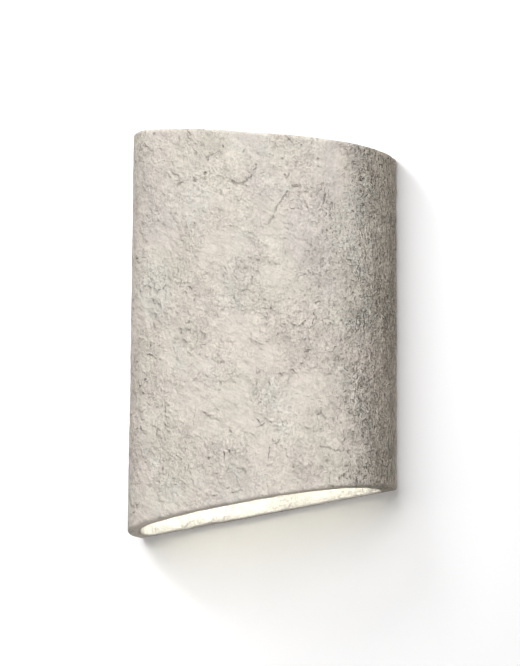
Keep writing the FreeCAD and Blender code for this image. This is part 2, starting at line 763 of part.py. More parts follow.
def make_sleeve():
    """The lampholder's outer sleeve: a skirt inside the dome and an inward lip on top."""
    body = add_body("holder_sleeve")
    skirt = f"({SLEEVE_INNER} - Sizes.sleeve_fit)"
    core = "(Sizes.core_radius + Sizes.sleeve_fit)"
    lip = f"({CAP_RADIUS} + Sizes.dome_wall)"
    add_revolution(body, [
        (core, "Sizes.dome_height - Sizes.sleeve_skirt"),
        (skirt, "Sizes.dome_height - Sizes.sleeve_skirt"),
        (skirt, "Sizes.dome_height"),
        ("Sizes.dome_radius", "Sizes.dome_height"),
        ("Sizes.dome_radius", "Sizes.sleeve_top - Sizes.sleeve_lip / 2", "Sizes.sleeve_lip / 2", 1),
        ("Sizes.dome_radius - Sizes.sleeve_lip / 2", "Sizes.sleeve_top"),
        (lip, "Sizes.sleeve_top"),
        (lip, "Sizes.sleeve_top - Sizes.sleeve_lip"),
        (SLEEVE_INNER, "Sizes.sleeve_top - Sizes.sleeve_lip"),
        (SLEEVE_INNER, CORE_SEAT),
        (core, CORE_SEAT),
    ])
    stand_on_lamp_axis(body)


def make_core():
    """The porcelain core that rests on the sleeve's step and holds the contacts."""
    body = add_body("holder_core")
    cup = "(Sizes.shell_radius + Sizes.shell_sheet + Sizes.sleeve_fit)"
    rim = f"({cup} + Sizes.dome_wall)"
    bore = "Sizes.core_bore_radius"
    add_revolution(body, [
        (bore, "Sizes.core_foot"),
        ("Sizes.core_radius", "Sizes.core_foot"),
        ("Sizes.core_radius", CORE_SEAT),
        (f"({SLEEVE_INNER} - Sizes.sleeve_fit)", CORE_SEAT),
        (f"({SLEEVE_INNER} - Sizes.sleeve_fit)", CORE_TOP),
        (rim, CORE_TOP),
        (rim, f"{CORE_TOP} + Sizes.core_rim"),
        (cup, f"{CORE_TOP} + Sizes.core_rim"),
        (cup, f"{SHELL_FOOT} - Sizes.shell_sheet"),
        (bore, f"{SHELL_FOOT} - Sizes.shell_sheet"),
    ])
    bores = add_sketch(body, "XY_Plane", "Sizes.core_foot")
    for across, up in mirrored("Sizes.terminal_offset", "0"):
        add_circle(bores, across, up, "Sizes.terminal_radius + Sizes.insert_clearance")
    add_pocket(body, bores, "Sizes.terminal_above", reverse=True)
    stand_on_lamp_axis(body)


def make_holder_contacts():
    """Brass pieces of the lampholder: terminals, screw shell and centre contact."""
    terminals = add_body("holder_terminals")
    sketch = add_sketch(terminals, "XY_Plane", "Sizes.core_foot - Sizes.terminal_below")
    for across, up in mirrored("Sizes.terminal_offset", "0"):
        add_circle(sketch, across, up, "Sizes.terminal_radius")
        add_circle(sketch, across, up, "Sizes.terminal_bore_radius")
    add_pad(terminals, sketch, "(Sizes.terminal_above + Sizes.terminal_below)")
    stand_on_lamp_axis(terminals)

    shell = add_body("holder_screw_shell")
    inner = "Sizes.shell_radius"
    outer = "(Sizes.shell_radius + Sizes.shell_sheet)"
    foot = f"({SHELL_FOOT} - Sizes.shell_sheet)"
    add_revolution(shell, [
        (f"(Sizes.contact_plate_radius + Sizes.shell_sheet)", foot),
        (outer, foot),
        (outer, "Sizes.shell_top"),
        (inner, "Sizes.shell_top"),
        (inner, SHELL_FOOT),
        (f"(Sizes.contact_plate_radius + Sizes.shell_sheet)", SHELL_FOOT),
    ])
    stand_on_lamp_axis(shell)

    contact = add_body("holder_contact")
    add_revolution(contact, [
        ("0", f"{foot} - Sizes.contact_pin_length"),
        ("Sizes.contact_pin_radius", f"{foot} - Sizes.contact_pin_length"),
        ("Sizes.contact_pin_radius", foot),
        ("Sizes.contact_plate_radius", foot),
        ("Sizes.contact_plate_radius", CONTACT_TOP),
        ("0", CONTACT_TOP),
    ])
    stand_on_lamp_axis(contact)


# ---------------------------------------------------------------- bulb


def make_bulb_base():
    """Contact tip, glass insulator and screw cap."""
    tip = add_body("bulb_contact")
    top = f"({CONTACT_TOP} + Sizes.tip_height)"
    add_revolution(tip, [
        ("0", CONTACT_TOP),
        ("Sizes.tip_radius - Sizes.tip_height / 2", CONTACT_TOP, "Sizes.tip_height / 2", 1),
        ("Sizes.tip_radius", f"{CONTACT_TOP} + Sizes.tip_height / 2"),
        ("Sizes.tip_radius", top),
        ("0", top),
    ])
    stand_on_lamp_axis(tip)

    insulator = add_body("bulb_insulator")
    add_revolution(insulator, [
        ("0", top),
        ("Sizes.tip_radius + Sizes.tip_height / 2", top),
        (f"{CAP_RADIUS} - Sizes.shell_sheet", CAP_FOOT),
        ("0", CAP_FOOT),
    ])
    stand_on_lamp_axis(insulator)

    cap = add_body("bulb_cap")
    inner = f"({CAP_RADIUS} - Sizes.shell_sheet)"
    shoulder = f"({CAP_TOP} - Sizes.shell_sheet)"
    add_revolution(cap, [
        ("0", CAP_FOOT),
        (inner, CAP_FOOT),
        (CAP_RADIUS, f"{CAP_FOOT} + Sizes.shell_sheet"),
        (CAP_RADIUS, shoulder),
        ("Sizes.collar_foot_radius", CAP_TOP),
        ("0", CAP_TOP),
    ])
    stand_on_lamp_axis(cap)


def make_bulb_top():
    """The collar that flares from the cap, and the opal globe in its mouth."""
    collar = add_body("bulb_collar")
    wall = "Sizes.collar_wall"
    flare = f"({COLLAR_TOP} - 2 * {wall})"
    add_revolution(collar, [
        ("0", CAP_TOP),
        ("Sizes.collar_foot_radius", CAP_TOP),
        (f"{GLOBE_MOUTH}", flare),
        (f"{GLOBE_MOUTH}", COLLAR_TOP),
        (f"{GLOBE_INNER_MOUTH}", COLLAR_TOP),
        (f"{GLOBE_INNER_MOUTH}", f"{flare} - {wall}"),
        ("0", f"{flare} - {wall}"),
    ])
    stand_on_lamp_axis(collar)

    globe = add_body("bulb_globe")
    centre = f"({COLLAR_TOP} + Sizes.globe_cut)"
    add_revolution(globe, [
        (GLOBE_MOUTH, COLLAR_TOP, "Sizes.globe_radius", 1),
        ("Sizes.globe_radius", centre, "Sizes.globe_radius", 1),
        ("0", f"{centre} + Sizes.globe_radius"),
        ("0", f"{centre} + {GLOBE_BORE}", GLOBE_BORE, -1),
        (GLOBE_BORE, centre, GLOBE_BORE, -1),
        (GLOBE_INNER_MOUTH, COLLAR_TOP),
    ])
    stand_on_lamp_axis(globe)


# ---------------------------------------------------------------- terminal block and earth


def pole_places():
    """The three poles of the terminal block, left to right."""
    return ["-Sizes.pole_pitch", "0", "Sizes.pole_pitch"]


def block_screw_places():
    """The two fixing screws, in the valleys between the towers."""
    return mirrored("Sizes.pole_pitch / 2", "Sizes.block_above")


def make_terminal_block():
    """A moulded strip with a tower over each pole."""
    body = add_body("terminal_block")
    base = add_sketch(body, "XZ_Plane", PLATE_FACE)
    foot = BLOCK_FOOT
    top = "(Sizes.block_above + Sizes.block_height / 2)"
    half_block = "Sizes.block_width / 2"
    add_rounded_box(base, (f"-{half_block}", foot), (half_block, top), "Sizes.block_corner_radius")
    add_pad(body, base, "Sizes.block_base")
    towers = add_sketch(body, "XZ_Plane", f"({PLATE_FACE} + Sizes.block_base)")
    half = "Sizes.tower_width / 2"
    for pole in pole_places():
        low = (f"{pole} - {half}", f"{foot} + Sizes.tag_thickness")
        high = (f"{pole} + {half}", f"{top} - Sizes.tag_thickness")
        add_rounded_box(towers, low, high, "Sizes.block_corner_radius")
    add_pad(body, towers, "(Sizes.block_depth - Sizes.block_base)")
    tubes = add_sketch(body, "XY_Plane", foot)
    for pole in pole_places():
        add_circle(tubes, pole, f"-{TUBE_DEPTH}", "Sizes.tube_radius")
    add_pocket(body, tubes, reverse=True)
    cut_discs(body, clamp_screw_places(), "Sizes.clamp_screw_radius", TUBE_DEPTH, "Sizes.block_depth")
    cut_discs(body, block_screw_places(), "Sizes.block_screw_radius", PLATE_FACE, "Sizes.block_base")


def clamp_screw_places():
    """Two clamping screws over each pole."""
    up = "Sizes.clamp_screw_spacing / 2"
    return [(pole, f"Sizes.block_above {sign} {up}") for pole in pole_places() for sign in ("+", "-")]


def make_block_metal():
    """Brass tubes, clamping screws and fixing screws of the terminal block."""
    tubes = add_body("terminal_tubes")
    sketch = add_sketch(tubes, "XY_Plane", f"({BLOCK_FOOT} + Sizes.tag_thickness)")
    for pole in pole_places():
        add_circle(sketch, pole, f"-{TUBE_DEPTH}", "Sizes.tube_radius")
        add_circle(sketch, pole, f"-{TUBE_DEPTH}", "Sizes.tube_bore_radius")
    add_pad(tubes, sketch, "(Sizes.block_height - 2 * Sizes.tag_thickness)")

    clamps = add_body("clamp_screws")
    start = f"({TUBE_DEPTH} + Sizes.tube_radius)"
    face = f"({PLATE_FACE} + Sizes.block_depth - Sizes.clamp_screw_sunk)"
    add_discs(clamps, clamp_screw_places(), "Sizes.clamp_screw_radius", start, f"({face} - {start})")

    fixing = add_body("block_screws")
    seat = f"({PLATE_FACE} + Sizes.block_base)"
    places = block_screw_places()
    add_discs(fixing, places, "Sizes.block_screw_radius", "Sizes.back_wall", f"({seat} - Sizes.back_wall)")
    add_discs(fixing, places, "Sizes.block_screw_head_radius", seat, "Sizes.block_screw_head_height")


def earth_place():
    """The earth screw, left of the bracket's leg."""
    return ("-Sizes.earth_across", "-Sizes.earth_below")


def make_earth_parts():
    """A ring tag with its crimped barrel, and the screw that holds it."""
    tag = add_body("earth_tag")
    bore = "Sizes.earth_screw_radius"
    add_discs(tag, [earth_place()], "Sizes.tag_radius", PLATE_FACE, "Sizes.tag_thickness", bore=bore)
    across, up = earth_place()
    foot = f"({up} + Sizes.tag_radius - Sizes.tag_thickness)"
    tongue = add_sketch(tag, "XZ_Plane", PLATE_FACE)
    half = "Sizes.tag_tongue_width / 2"
    top = f"{foot} + Sizes.tag_barrel_length"
    add_loop(tongue, [
        (f"{across} - {half}", foot),
        (f"{across} + {half}", foot),
        (f"{across} + {half}", top),
        (f"{across} - {half}", top),
    ])
    add_pad(tag, tongue, "Sizes.tag_thickness")
    barrel = add_sketch(tag, "XY_Plane", foot)
    add_circle(barrel, across, f"-{TAG_AXIS}", "Sizes.tag_barrel_radius")
    add_circle(barrel, across, f"-{TAG_AXIS}", "Sizes.wire_radius + Sizes.insert_clearance")
    add_pad(tag, barrel, "Sizes.tag_barrel_length")

    screw = add_body("earth_screw")
    place = [earth_place()]
    start = "Sizes.back_wall"
    add_discs(screw, place, "Sizes.earth_screw_radius", start, f"({TAG_FACE} - {start})")
    add_discs(screw, place, "Sizes.earth_screw_head_radius", TAG_FACE, "Sizes.earth_screw_head_height")


# ---------------------------------------------------------------- wires


BEND_SHARE = 0.45


def route(points):
    """Straight runs joined by tangent arcs, each taking that share of the shorter of its two runs."""
    edges = []
    start = points[0]
    for before, corner, after in zip(points, points[1:], points[2:]):
        arriving = corner - before
        leaving = after - corner
        half_turn = arriving.getAngle(leaving) / 2
        radius = BEND_SHARE * min(arriving.Length, leaving.Length) / math.tan(half_turn)
        setback = radius * math.tan(half_turn)
        into = arriving.normalize()
        out = leaving.normalize()
        arc_start = corner - into * setback
        arc_end = corner + out * setback
        bisector = (out - into).normalize()
        centre = corner + bisector * (radius / math.cos(half_turn))
        middle = centre - bisector * radius
        edges.append(Part.LineSegment(start, arc_start).toShape())
        edges.append(Part.Arc(arc_start, middle, arc_end).toShape())
        start = arc_end
        print(f"  bend radius {radius:.1f}")
    edges.append(Part.LineSegment(start, points[-1]).toShape())
    return Part.Wire(edges)


def add_tube(name, points, radius, bore=0):
    """A round wire, or a sleeve where a bore is given, along the route."""
    print(name)
    path = route(points)
    direction = points[1] - points[0]

    def swept(size):
        ring = Part.Wire(Part.Circle(points[0], direction, size).toShape())
        return path.makePipeShell([ring], True, True)

    shape = swept(radius)
    if bore:
        shape = shape.cut(swept(bore))
    expected = math.pi * (radius**2 - bore**2) * path.Length
    print(f"  length {path.Length:.1f}, volume off by {shape.Volume / expected - 1:.5f}")
    feature = DOC.addObject("Part::Feature", name)
    feature.Shape = shape
    feature.Label = name
    NODES.append(feature)


def make_wires():
    """The two lamp wires in their sleeve, and the earth wire."""
    lamp = Vector(0, -number("Sizes.lamp_from_wall"), 0)
    shelf = -number("Sizes.shelf_below")
    descent = Vector(number("Sizes.cord_sleeve_across"), -number("Sizes.cord_sleeve_from_wall"), 0)
    sleeve_top = -number("Sizes.cord_sleeve_top_below")
    loop_foot = shelf - number("Sizes.cord_loop_below_shelf")
    parting = shelf + number("Sizes.nipple_above_shelf - Sizes.dome_wall")
    sideways = Vector(0, 0, 1).cross(lamp - descent).normalize()
    radius = number("Sizes.wire_radius")
    pushed_in = number("Sizes.wire_pushed_in")
    apart = radius + number("Sizes.wire_gap") / 2

    def at(place, height):
        return Vector(place.x, place.y, height)

    sleeve_route = [at(descent, sleeve_top), at(descent, loop_foot), at(lamp, loop_foot), at(lamp, shelf)]
    sleeve_radius = number("Sizes.cord_sleeve_radius")
    add_tube("wire_sleeve", sleeve_route, sleeve_radius, number("Sizes.cord_sleeve_bore_radius"))
    bend = sleeve_top + number("Sizes.cord_bend_room")
    block_foot = number(BLOCK_FOOT) + number("Sizes.tag_thickness")
    pole_depth = -number(TUBE_DEPTH)
    core_foot = shelf + number("Sizes.core_foot")
    terminal_foot = core_foot - number("Sizes.terminal_below")
    terminal_x = number("Sizes.terminal_offset")
    pitch = number("Sizes.pole_pitch")
    for name, side, pole_x in (("live_wire", 1, pitch), ("neutral_wire", -1, 0)):
        down = descent + sideways * apart * side
        through = lamp + sideways * apart * side
        terminal = Vector(math.copysign(terminal_x, through.x), lamp.y, 0)
        pole = Vector(pole_x, pole_depth, 0)
        add_tube(name, [
            at(pole, block_foot + pushed_in),
            at(pole, block_foot - number("Sizes.wire_below_block")),
            at(down, bend),
            at(down, loop_foot),
            at(through, loop_foot),
            at(through, parting),
            at(terminal, terminal_foot - number("Sizes.wire_below_terminal")),
            at(terminal, terminal_foot + pushed_in),
        ], radius)
    across, up = (number(text) for text in earth_place())
    barrel = Vector(across, -number(TAG_AXIS), 0)
    barrel_top = up + number("Sizes.tag_radius - Sizes.tag_thickness + Sizes.tag_barrel_length")
    pole = Vector(-pitch, pole_depth, 0)
    straight = number("Sizes.earth_wire_straight")
    add_tube("earth_wire", [
        at(pole, block_foot + pushed_in),
        at(pole, block_foot - straight),
        at(barrel, barrel_top + straight),
        at(barrel, barrel_top - number("Sizes.earth_wire_in_barrel")),
    ], radius)


# ---------------------------------------------------------------- build and export


def check_and_export():
    """Stop on any failed object, then write each node's solids."""
    DOC.recompute()
    for item in DOC.Objects:
        if "Invalid" in item.State or "Error" in item.State:
            raise RuntimeError(f"{item.Label} failed: {item.State}")
    os.makedirs("parts", exist_ok=True)
    for node in NODES:
        shape = node.Shape
        if shape.isNull() or not shape.isValid() or not shape.Solids:
            raise RuntimeError(f"{node.Label} has no valid solid")
        shape.exportStep(f"parts/{node.Label}.step")
        print(f"{node.Label}: {len(shape.Solids)} solid(s), {shape.Volume:.0f} mm3")


def main():
    fill_sheet()
    make_shade()
    make_wall_strap()
    make_hang_studs()
    make_carrier_plate()
    make_plate_fasteners()
    make_grommet()
    make_holder_bracket()
    make_bracket_rivets()
    make_nipple()
    make_lock_nut()
    make_dome()
    make_sleeve()
    make_core()
    make_holder_contacts()
    make_bulb_base()
    make_bulb_top()
    make_terminal_block()
    make_block_metal()
    make_earth_parts()
    make_wires()
    check_and_export()


main()
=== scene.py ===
"""Looks of the D-shaped paper-pulp wall light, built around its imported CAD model. Metres, +Z up, -Y out of the wall."""

import math
import random

import bmesh
import bpy
import numpy as np
from mathutils import Matrix, Vector, noise


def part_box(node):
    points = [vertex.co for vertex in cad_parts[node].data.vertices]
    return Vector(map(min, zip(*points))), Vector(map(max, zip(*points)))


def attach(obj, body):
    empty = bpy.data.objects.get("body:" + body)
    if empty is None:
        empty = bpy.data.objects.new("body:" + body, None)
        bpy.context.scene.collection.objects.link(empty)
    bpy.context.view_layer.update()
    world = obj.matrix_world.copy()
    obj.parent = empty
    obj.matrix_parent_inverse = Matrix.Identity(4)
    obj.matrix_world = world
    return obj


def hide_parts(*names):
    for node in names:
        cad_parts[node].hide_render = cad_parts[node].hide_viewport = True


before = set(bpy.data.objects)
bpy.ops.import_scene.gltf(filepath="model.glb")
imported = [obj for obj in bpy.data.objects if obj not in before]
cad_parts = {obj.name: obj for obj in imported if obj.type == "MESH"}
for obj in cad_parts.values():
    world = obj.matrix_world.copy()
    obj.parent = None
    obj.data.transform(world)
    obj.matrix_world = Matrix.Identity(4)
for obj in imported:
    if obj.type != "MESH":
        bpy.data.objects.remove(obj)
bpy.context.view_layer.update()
SCENE = bpy.context.scene
MM = 0.001


# ---------------------------------------------------------------- camera, backdrop and lamps


CAMERA_PLACE = (1.16462, -2.76469, -0.584)
CAMERA_ANGLES = (23.0, 11.04, 0.43)  # azimuth, pitch and roll in degrees
LENS, SENSOR = 174.2, 36  # mm

# Soft lamps: azimuth and elevation in degrees, distance, width and height in metres, and power in watts
LAMPS = {
    "key_lamp": (-46, 42, 2.6, 0.7, 0.7, 27),
    "front_lamp": (26, 10, 2.8, 3.4, 2.0, 71),
    "wall_lamp": (-12, 24, 2.6, 2.3, 1.9, 63),
    "floor_lamp": (5, -66, 1.7, 1.4, 0.8, 6),
    "back_lamp": (180, 0, 2.6, 0.6, 0.6, 30),
}
# Lamps of the lit bulb: place and radius in metres, and power in watts
GLOWS = {
    "well_left": ((-0.078, -0.046, -0.118), 0.014, 0.19),
    "well_right": ((0.07, -0.046, -0.1), 0.014, 0.12),
    "well_middle": ((0.002, -0.066, -0.13), 0.01, 0.045),
    "bulb_glow": ((0, -0.043, -0.014), 0.0228, 0.22),
}
GLOW_COLOR = (1, 0.985, 0.92)
WHITE = (1, 1, 1, 1)
WORLD_COLOR, WORLD_STRENGTH = (1, 0.965, 0.92, 1), 0.14
WALL_HALF_WIDTH, WALL_FOOT, WALL_TOP, WALL_GAP = 4.0, -3.0, 4.0, 0.0003
WALL_LIT, WALL_SEEN, WALL_GLOW = (0.36, 0.34, 0.31, 1), (0.92, 0.92, 0.93, 1), 0.17


def place_camera():
    """The photograph's view: from the right and from below."""
    azimuth, pitch, roll = (math.radians(angle) for angle in CAMERA_ANGLES)
    ahead = Vector((-math.sin(azimuth) * math.cos(pitch), math.cos(azimuth) * math.cos(pitch), math.sin(pitch)))
    right = Vector((math.cos(azimuth), math.sin(azimuth), 0))
    up = right.cross(ahead)
    across = right * math.cos(roll) + up * math.sin(roll)
    upward = up * math.cos(roll) - right * math.sin(roll)
    data = bpy.data.cameras.new("camera")
    data.lens = LENS
    data.sensor_width = SENSOR
    camera = bpy.data.objects.new("camera", data)
    turn = Matrix((across, upward, -ahead)).transposed()
    camera.matrix_world = Matrix.Translation(CAMERA_PLACE) @ turn.to_4x4()
    SCENE.collection.objects.link(camera)
    SCENE.camera = camera


def add_lamp(name, azimuth, elevation, distance, width, height, power):
    """A softbox that faces the light. Azimuth runs from straight in front towards the right."""
    data = bpy.data.lights.new(name, "AREA")
    data.shape = "RECTANGLE"
    data.size = width
    data.size_y = height
    data.energy = power
    lamp = bpy.data.objects.new(name, data)
    turn, lift = math.radians(azimuth), math.radians(elevation)
    away = Vector((math.sin(turn) * math.cos(lift), -math.cos(turn) * math.cos(lift), math.sin(lift)))
    lamp.location = away * distance
    lamp.rotation_euler = away.to_track_quat("Z", "Y").to_euler()
    SCENE.collection.objects.link(lamp)
    return lamp


def add_glow(name, place, radius, power):
    """Warm light of the lit bulb, inside the shade."""
    data = bpy.data.lights.new(name, "POINT")
    data.energy = power
    data.color = GLOW_COLOR
    data.shadow_soft_size = radius
    lamp = bpy.data.objects.new(name, data)
    lamp.location = place
    lamp.visible_camera = False
    SCENE.collection.objects.link(lamp)
    return lamp


def linked(name, wall, state):
    """A collection for light linking: everything but the wall, or only the wall."""
    group = bpy.data.collections.new(name)
    group.objects.link(wall)
    group.collection_objects[0].light_linking.link_state = state
    return group


def light_up(wall):
    """Sets up the soft lamps, the lit bulb's lamps and the world.

    Of the lamps, only the key lamp and the wall's own lamp light the wall, so that it stays white and keeps the
    object's shadow. The back lamp shines through the wall.
    """
    SCENE.view_settings.view_transform = "Standard"
    lamps = {name: add_lamp(name, *settings) for name, settings in LAMPS.items()}
    glows = [add_glow(name, *settings) for name, settings in GLOWS.items()]
    all_but_wall = linked("all_but_the_wall", wall, "EXCLUDE")
    for lamp in (lamps["front_lamp"], lamps["floor_lamp"], lamps["back_lamp"], *glows):
        lamp.light_linking.receiver_collection = all_but_wall
    lamps["back_lamp"].light_linking.blocker_collection = all_but_wall
    lamps["wall_lamp"].light_linking.receiver_collection = linked("the_wall", wall, "INCLUDE")
    world = bpy.data.worlds.new("studio")
    SCENE.world = world
    world.use_nodes = True
    tree = world.node_tree
    tree.nodes.clear()
    seen = add_node(tree, "ShaderNodeBackground", {"Color": WHITE}).outputs[0]
    lit = add_node(tree, "ShaderNodeBackground", {"Color": WORLD_COLOR, "Strength": WORLD_STRENGTH}).outputs[0]
    by_eye = seen_by_eye(tree, add_node(tree, "ShaderNodeLightPath"))
    mix = add_node(tree, "ShaderNodeMixShader", {"Fac": by_eye, 1: lit, 2: seen}).outputs[0]
    add_node(tree, "ShaderNodeOutputWorld", {"Surface": mix})


def add_node(tree, kind, values=None, **settings):
    """A node with its settings, and its inputs set to values or linked to sockets."""
    node = tree.nodes.new(kind)
    for name, value in settings.items():
        setattr(node, name, value)
    for key, value in (values or {}).items():
        if isinstance(value, bpy.types.NodeSocket):
            tree.links.new(value, node.inputs[key])
        else:
            node.inputs[key].default_value = value
    return node


def seen_by_eye(tree, path):
    """1 for rays from the camera, off gloss or through glass."""
    total = path.outputs["Is Camera Ray"]
    for kind in ("Is Glossy Ray", "Is Transmission Ray"):
        total = add_node(tree, "ShaderNodeMath", {0: total, 1: path.outputs[kind]}, operation="MAXIMUM").outputs[0]
    return total


def build_backdrop():
    """The white wall behind the light. It glows a little for the camera, so that it is white and keeps the shadow.

    From behind, the camera sees through it, so that the back of the light can be looked at.
    """
    mesh = bpy.data.meshes.new("wall")
    corners = [(x, WALL_GAP, z) for x, z in (
        (-WALL_HALF_WIDTH, WALL_FOOT), (WALL_HALF_WIDTH, WALL_FOOT),
        (WALL_HALF_WIDTH, WALL_TOP), (-WALL_HALF_WIDTH, WALL_TOP),
    )]
    mesh.from_pydata(corners, [], [(0, 1, 2, 3)])
    wall = bpy.data.objects.new("wall", mesh)
    SCENE.collection.objects.link(wall)
    material = bpy.data.materials.new("wall_paint")
    material.use_nodes = True
    tree = material.node_tree
    tree.nodes.clear()
    path = add_node(tree, "ShaderNodeLightPath")
    seen = seen_by_eye(tree, path)
    tint = add_node(tree, "ShaderNodeMix", {"Factor": seen, 6: WALL_LIT, 7: WALL_SEEN}, data_type="RGBA")
    paint = add_node(tree, "ShaderNodeBsdfDiffuse", {"Color": tint.outputs[2]}).outputs[0]
    strength = add_node(tree, "ShaderNodeMath", {0: seen, 1: WALL_GLOW}, operation="MULTIPLY").outputs[0]
    glow = add_node(tree, "ShaderNodeEmission", {"Color": WHITE, "Strength": strength}).outputs[0]
    both = add_node(tree, "ShaderNodeAddShader", {0: paint, 1: glow}).outputs[0]
    behind = add_node(tree, "ShaderNodeNewGeometry").outputs["Backfacing"]
    to_camera = path.outputs["Is Camera Ray"]
    hidden = add_node(tree, "ShaderNodeMath", {0: behind, 1: to_camera}, operation="MULTIPLY").outputs[0]
    clear = add_node(tree, "ShaderNodeBsdfTransparent").outputs[0]
    mix = add_node(tree, "ShaderNodeMixShader", {"Fac": hidden, 1: both, 2: clear}).outputs[0]
    add_node(tree, "ShaderNodeOutputMaterial", {"Surface": mix})
    mesh.materials.append(material)
    return wall


# ---------------------------------------------------------------- materials


class Look:
    """A procedural material being put together around one Principled shader."""

    def __init__(self, name, color, roughness, **sockets):
        self.material = bpy.data.materials.new(name)
        self.material.use_nodes = True
        self.tree = self.material.node_tree
        self.shader = next(node for node in self.tree.nodes if node.type == "BSDF_PRINCIPLED")
        self.shader.inputs["Base Color"].default_value = (*color, 1)
        self.shader.inputs["Roughness"].default_value = roughness
        for socket, value in sockets.items():
            self.shader.inputs[socket.replace("_", " ")].default_value = value
        self.place = self.add("ShaderNodeTexCoord").outputs["Object"]

    def add(self, kind, values=None, **settings):
        return add_node(self.tree, kind, values, **settings)

    def noise(self, size, detail=4, roughness=0.55, stretch=(1, 1, 1), lean=0, place=None):
        """Noise from 0 to 1 with features of about that many metres, stretched along axes leaned about Y."""
        turn = (0, math.radians(lean), 0)
        turned = self.add("ShaderNodeMapping", {"Vector": place or self.place, "Rotation": turn}).outputs[0]
        narrowed = [1 / factor for factor in stretch]
        scaled = self.add("ShaderNodeVectorMath", {0: turned, 1: narrowed}, operation="MULTIPLY").outputs[0]
        values = {"Vector": scaled, "Scale": 1 / size, "Detail": detail, "Roughness": roughness}
        return self.add("ShaderNodeTexNoise", values).outputs["Fac"]

    def warped(self, size, reach):
        """The place, pushed about by noise of that size over that reach, in metres."""
        push = self.add("ShaderNodeTexNoise", {"Vector": self.place, "Scale": 1 / size, "Detail": 3}).outputs["Color"]
        centred = self.add("ShaderNodeVectorMath", {0: push, 1: (0.5, 0.5, 0.5)}, operation="SUBTRACT").outputs[0]
        scaled = self.add("ShaderNodeVectorMath", {0: centred, "Scale": 2 * reach}, operation="SCALE").outputs[0]
        return self.add("ShaderNodeVectorMath", {0: self.place, 1: scaled}, operation="ADD").outputs[0]

    def cells(self, size, place, feature="F1"):
        """Distance from the nearest middle, or nearest edge, of cells of about that size."""
        values = {"Vector": place, "Scale": 1 / size}
        return self.add("ShaderNodeTexVoronoi", values, feature=feature).outputs["Distance"]

    def read(self, name):
        """A vertex attribute of the mesh."""
        return self.add("ShaderNodeAttribute", attribute_name=name).outputs["Fac"]

    def math(self, operation, a, b=0.0, clamp=False):
        return self.add("ShaderNodeMath", {0: a, 1: b}, operation=operation, use_clamp=clamp).outputs[0]

    def times(self, a, b, clamp=False):
        return self.math("MULTIPLY", a, b, clamp)

    def tinted(self, shade, share, amount):
        """The shade, lighter by share times amount, or darker where that is negative."""
        return self.times(shade, self.math("ADD", 1.0, self.times(share, amount)))

    def ranged(self, value, low, high, to_low=0.0, to_high=1.0):
        """The value with low to high spread smoothly over to_low to to_high."""
        values = {"Value": value, "From Min": low, "From Max": high, "To Min": to_low, "To Max": to_high}
        return self.add("ShaderNodeMapRange", values, interpolation_type="SMOOTHSTEP").outputs["Result"]

    def blend(self, share, a, b, mode="MIX"):
        """Two colours, or a colour and a socket, mixed by share."""
        a, b = ((*c, 1) if isinstance(c, tuple) else c for c in (a, b))
        node = self.add("ShaderNodeMix", {"Factor": share}, data_type="RGBA", blend_type=mode)
        for socket, value in zip((node.inputs[6], node.inputs[7]), (a, b)):
            if isinstance(value, bpy.types.NodeSocket):
                self.tree.links.new(value, socket)
            else:
                socket.default_value = value
        return node.outputs[2]

    def set(self, socket, value):
        self.tree.links.new(value, self.shader.inputs[socket])

    def bump(self, *layers):
        """Stacks bumps. Each layer is (height, depth in metres)."""
        normal = None
        for height, depth in layers:
            values = {"Height": height, "Distance": depth, "Strength": 1.0}
            if normal is not None:
                values["Normal"] = normal
            normal = self.add("ShaderNodeBump", values).outputs["Normal"]
        self.set("Normal", normal)


PULP_PLAIN = (0.68, 0.635, 0.575)
PULP_PINK, PULP_BEIGE = (0.735, 0.672, 0.605), (0.725, 0.676, 0.598)
PULP_COOL, PULP_LILAC = (0.735, 0.700, 0.634), (0.675, 0.625, 0.578)
# The right end's painted shade, the painted shade in the flank's pits, and the pale inside
PULP_END_SHADE, PULP_POCK_SHADE, PULP_INSIDE = (0.50, 0.445, 0.375), (0.43, 0.358, 0.288), (0.80, 0.785, 0.735)
CREASE_HALF_WIDTH, CREASE_FLOOR, CREASE_WAVER = 1.3, 0.2, 6.5  # mm


def pulp_color(look):
    """Pinkish, beige, cool and lilac patches, painted shade darkening the right end, and the pale inside."""
    beige = look.ranged(look.noise(0.075, 3, 0.55), 0.42, 0.60)
    cool = look.ranged(look.noise(0.05, 4, 0.6, stretch=(1, 1, 1.5), lean=25), 0.50, 0.64)
    lilac = look.ranged(look.noise(0.06, 3, 0.5, stretch=(1, 1, 2.2)), 0.52, 0.66)
    color = look.blend(beige, PULP_PINK, PULP_BEIGE)
    color = look.blend(cool, color, PULP_COOL)
    color = look.blend(lilac, color, PULP_LILAC)
    # the right end is darkened as painted shade where it turns away from the light
    color = look.blend(look.times(look.read("shaded"), 0.7), color, PULP_END_SHADE)
    return look.blend(look.read("inner"), color, PULP_INSIDE)


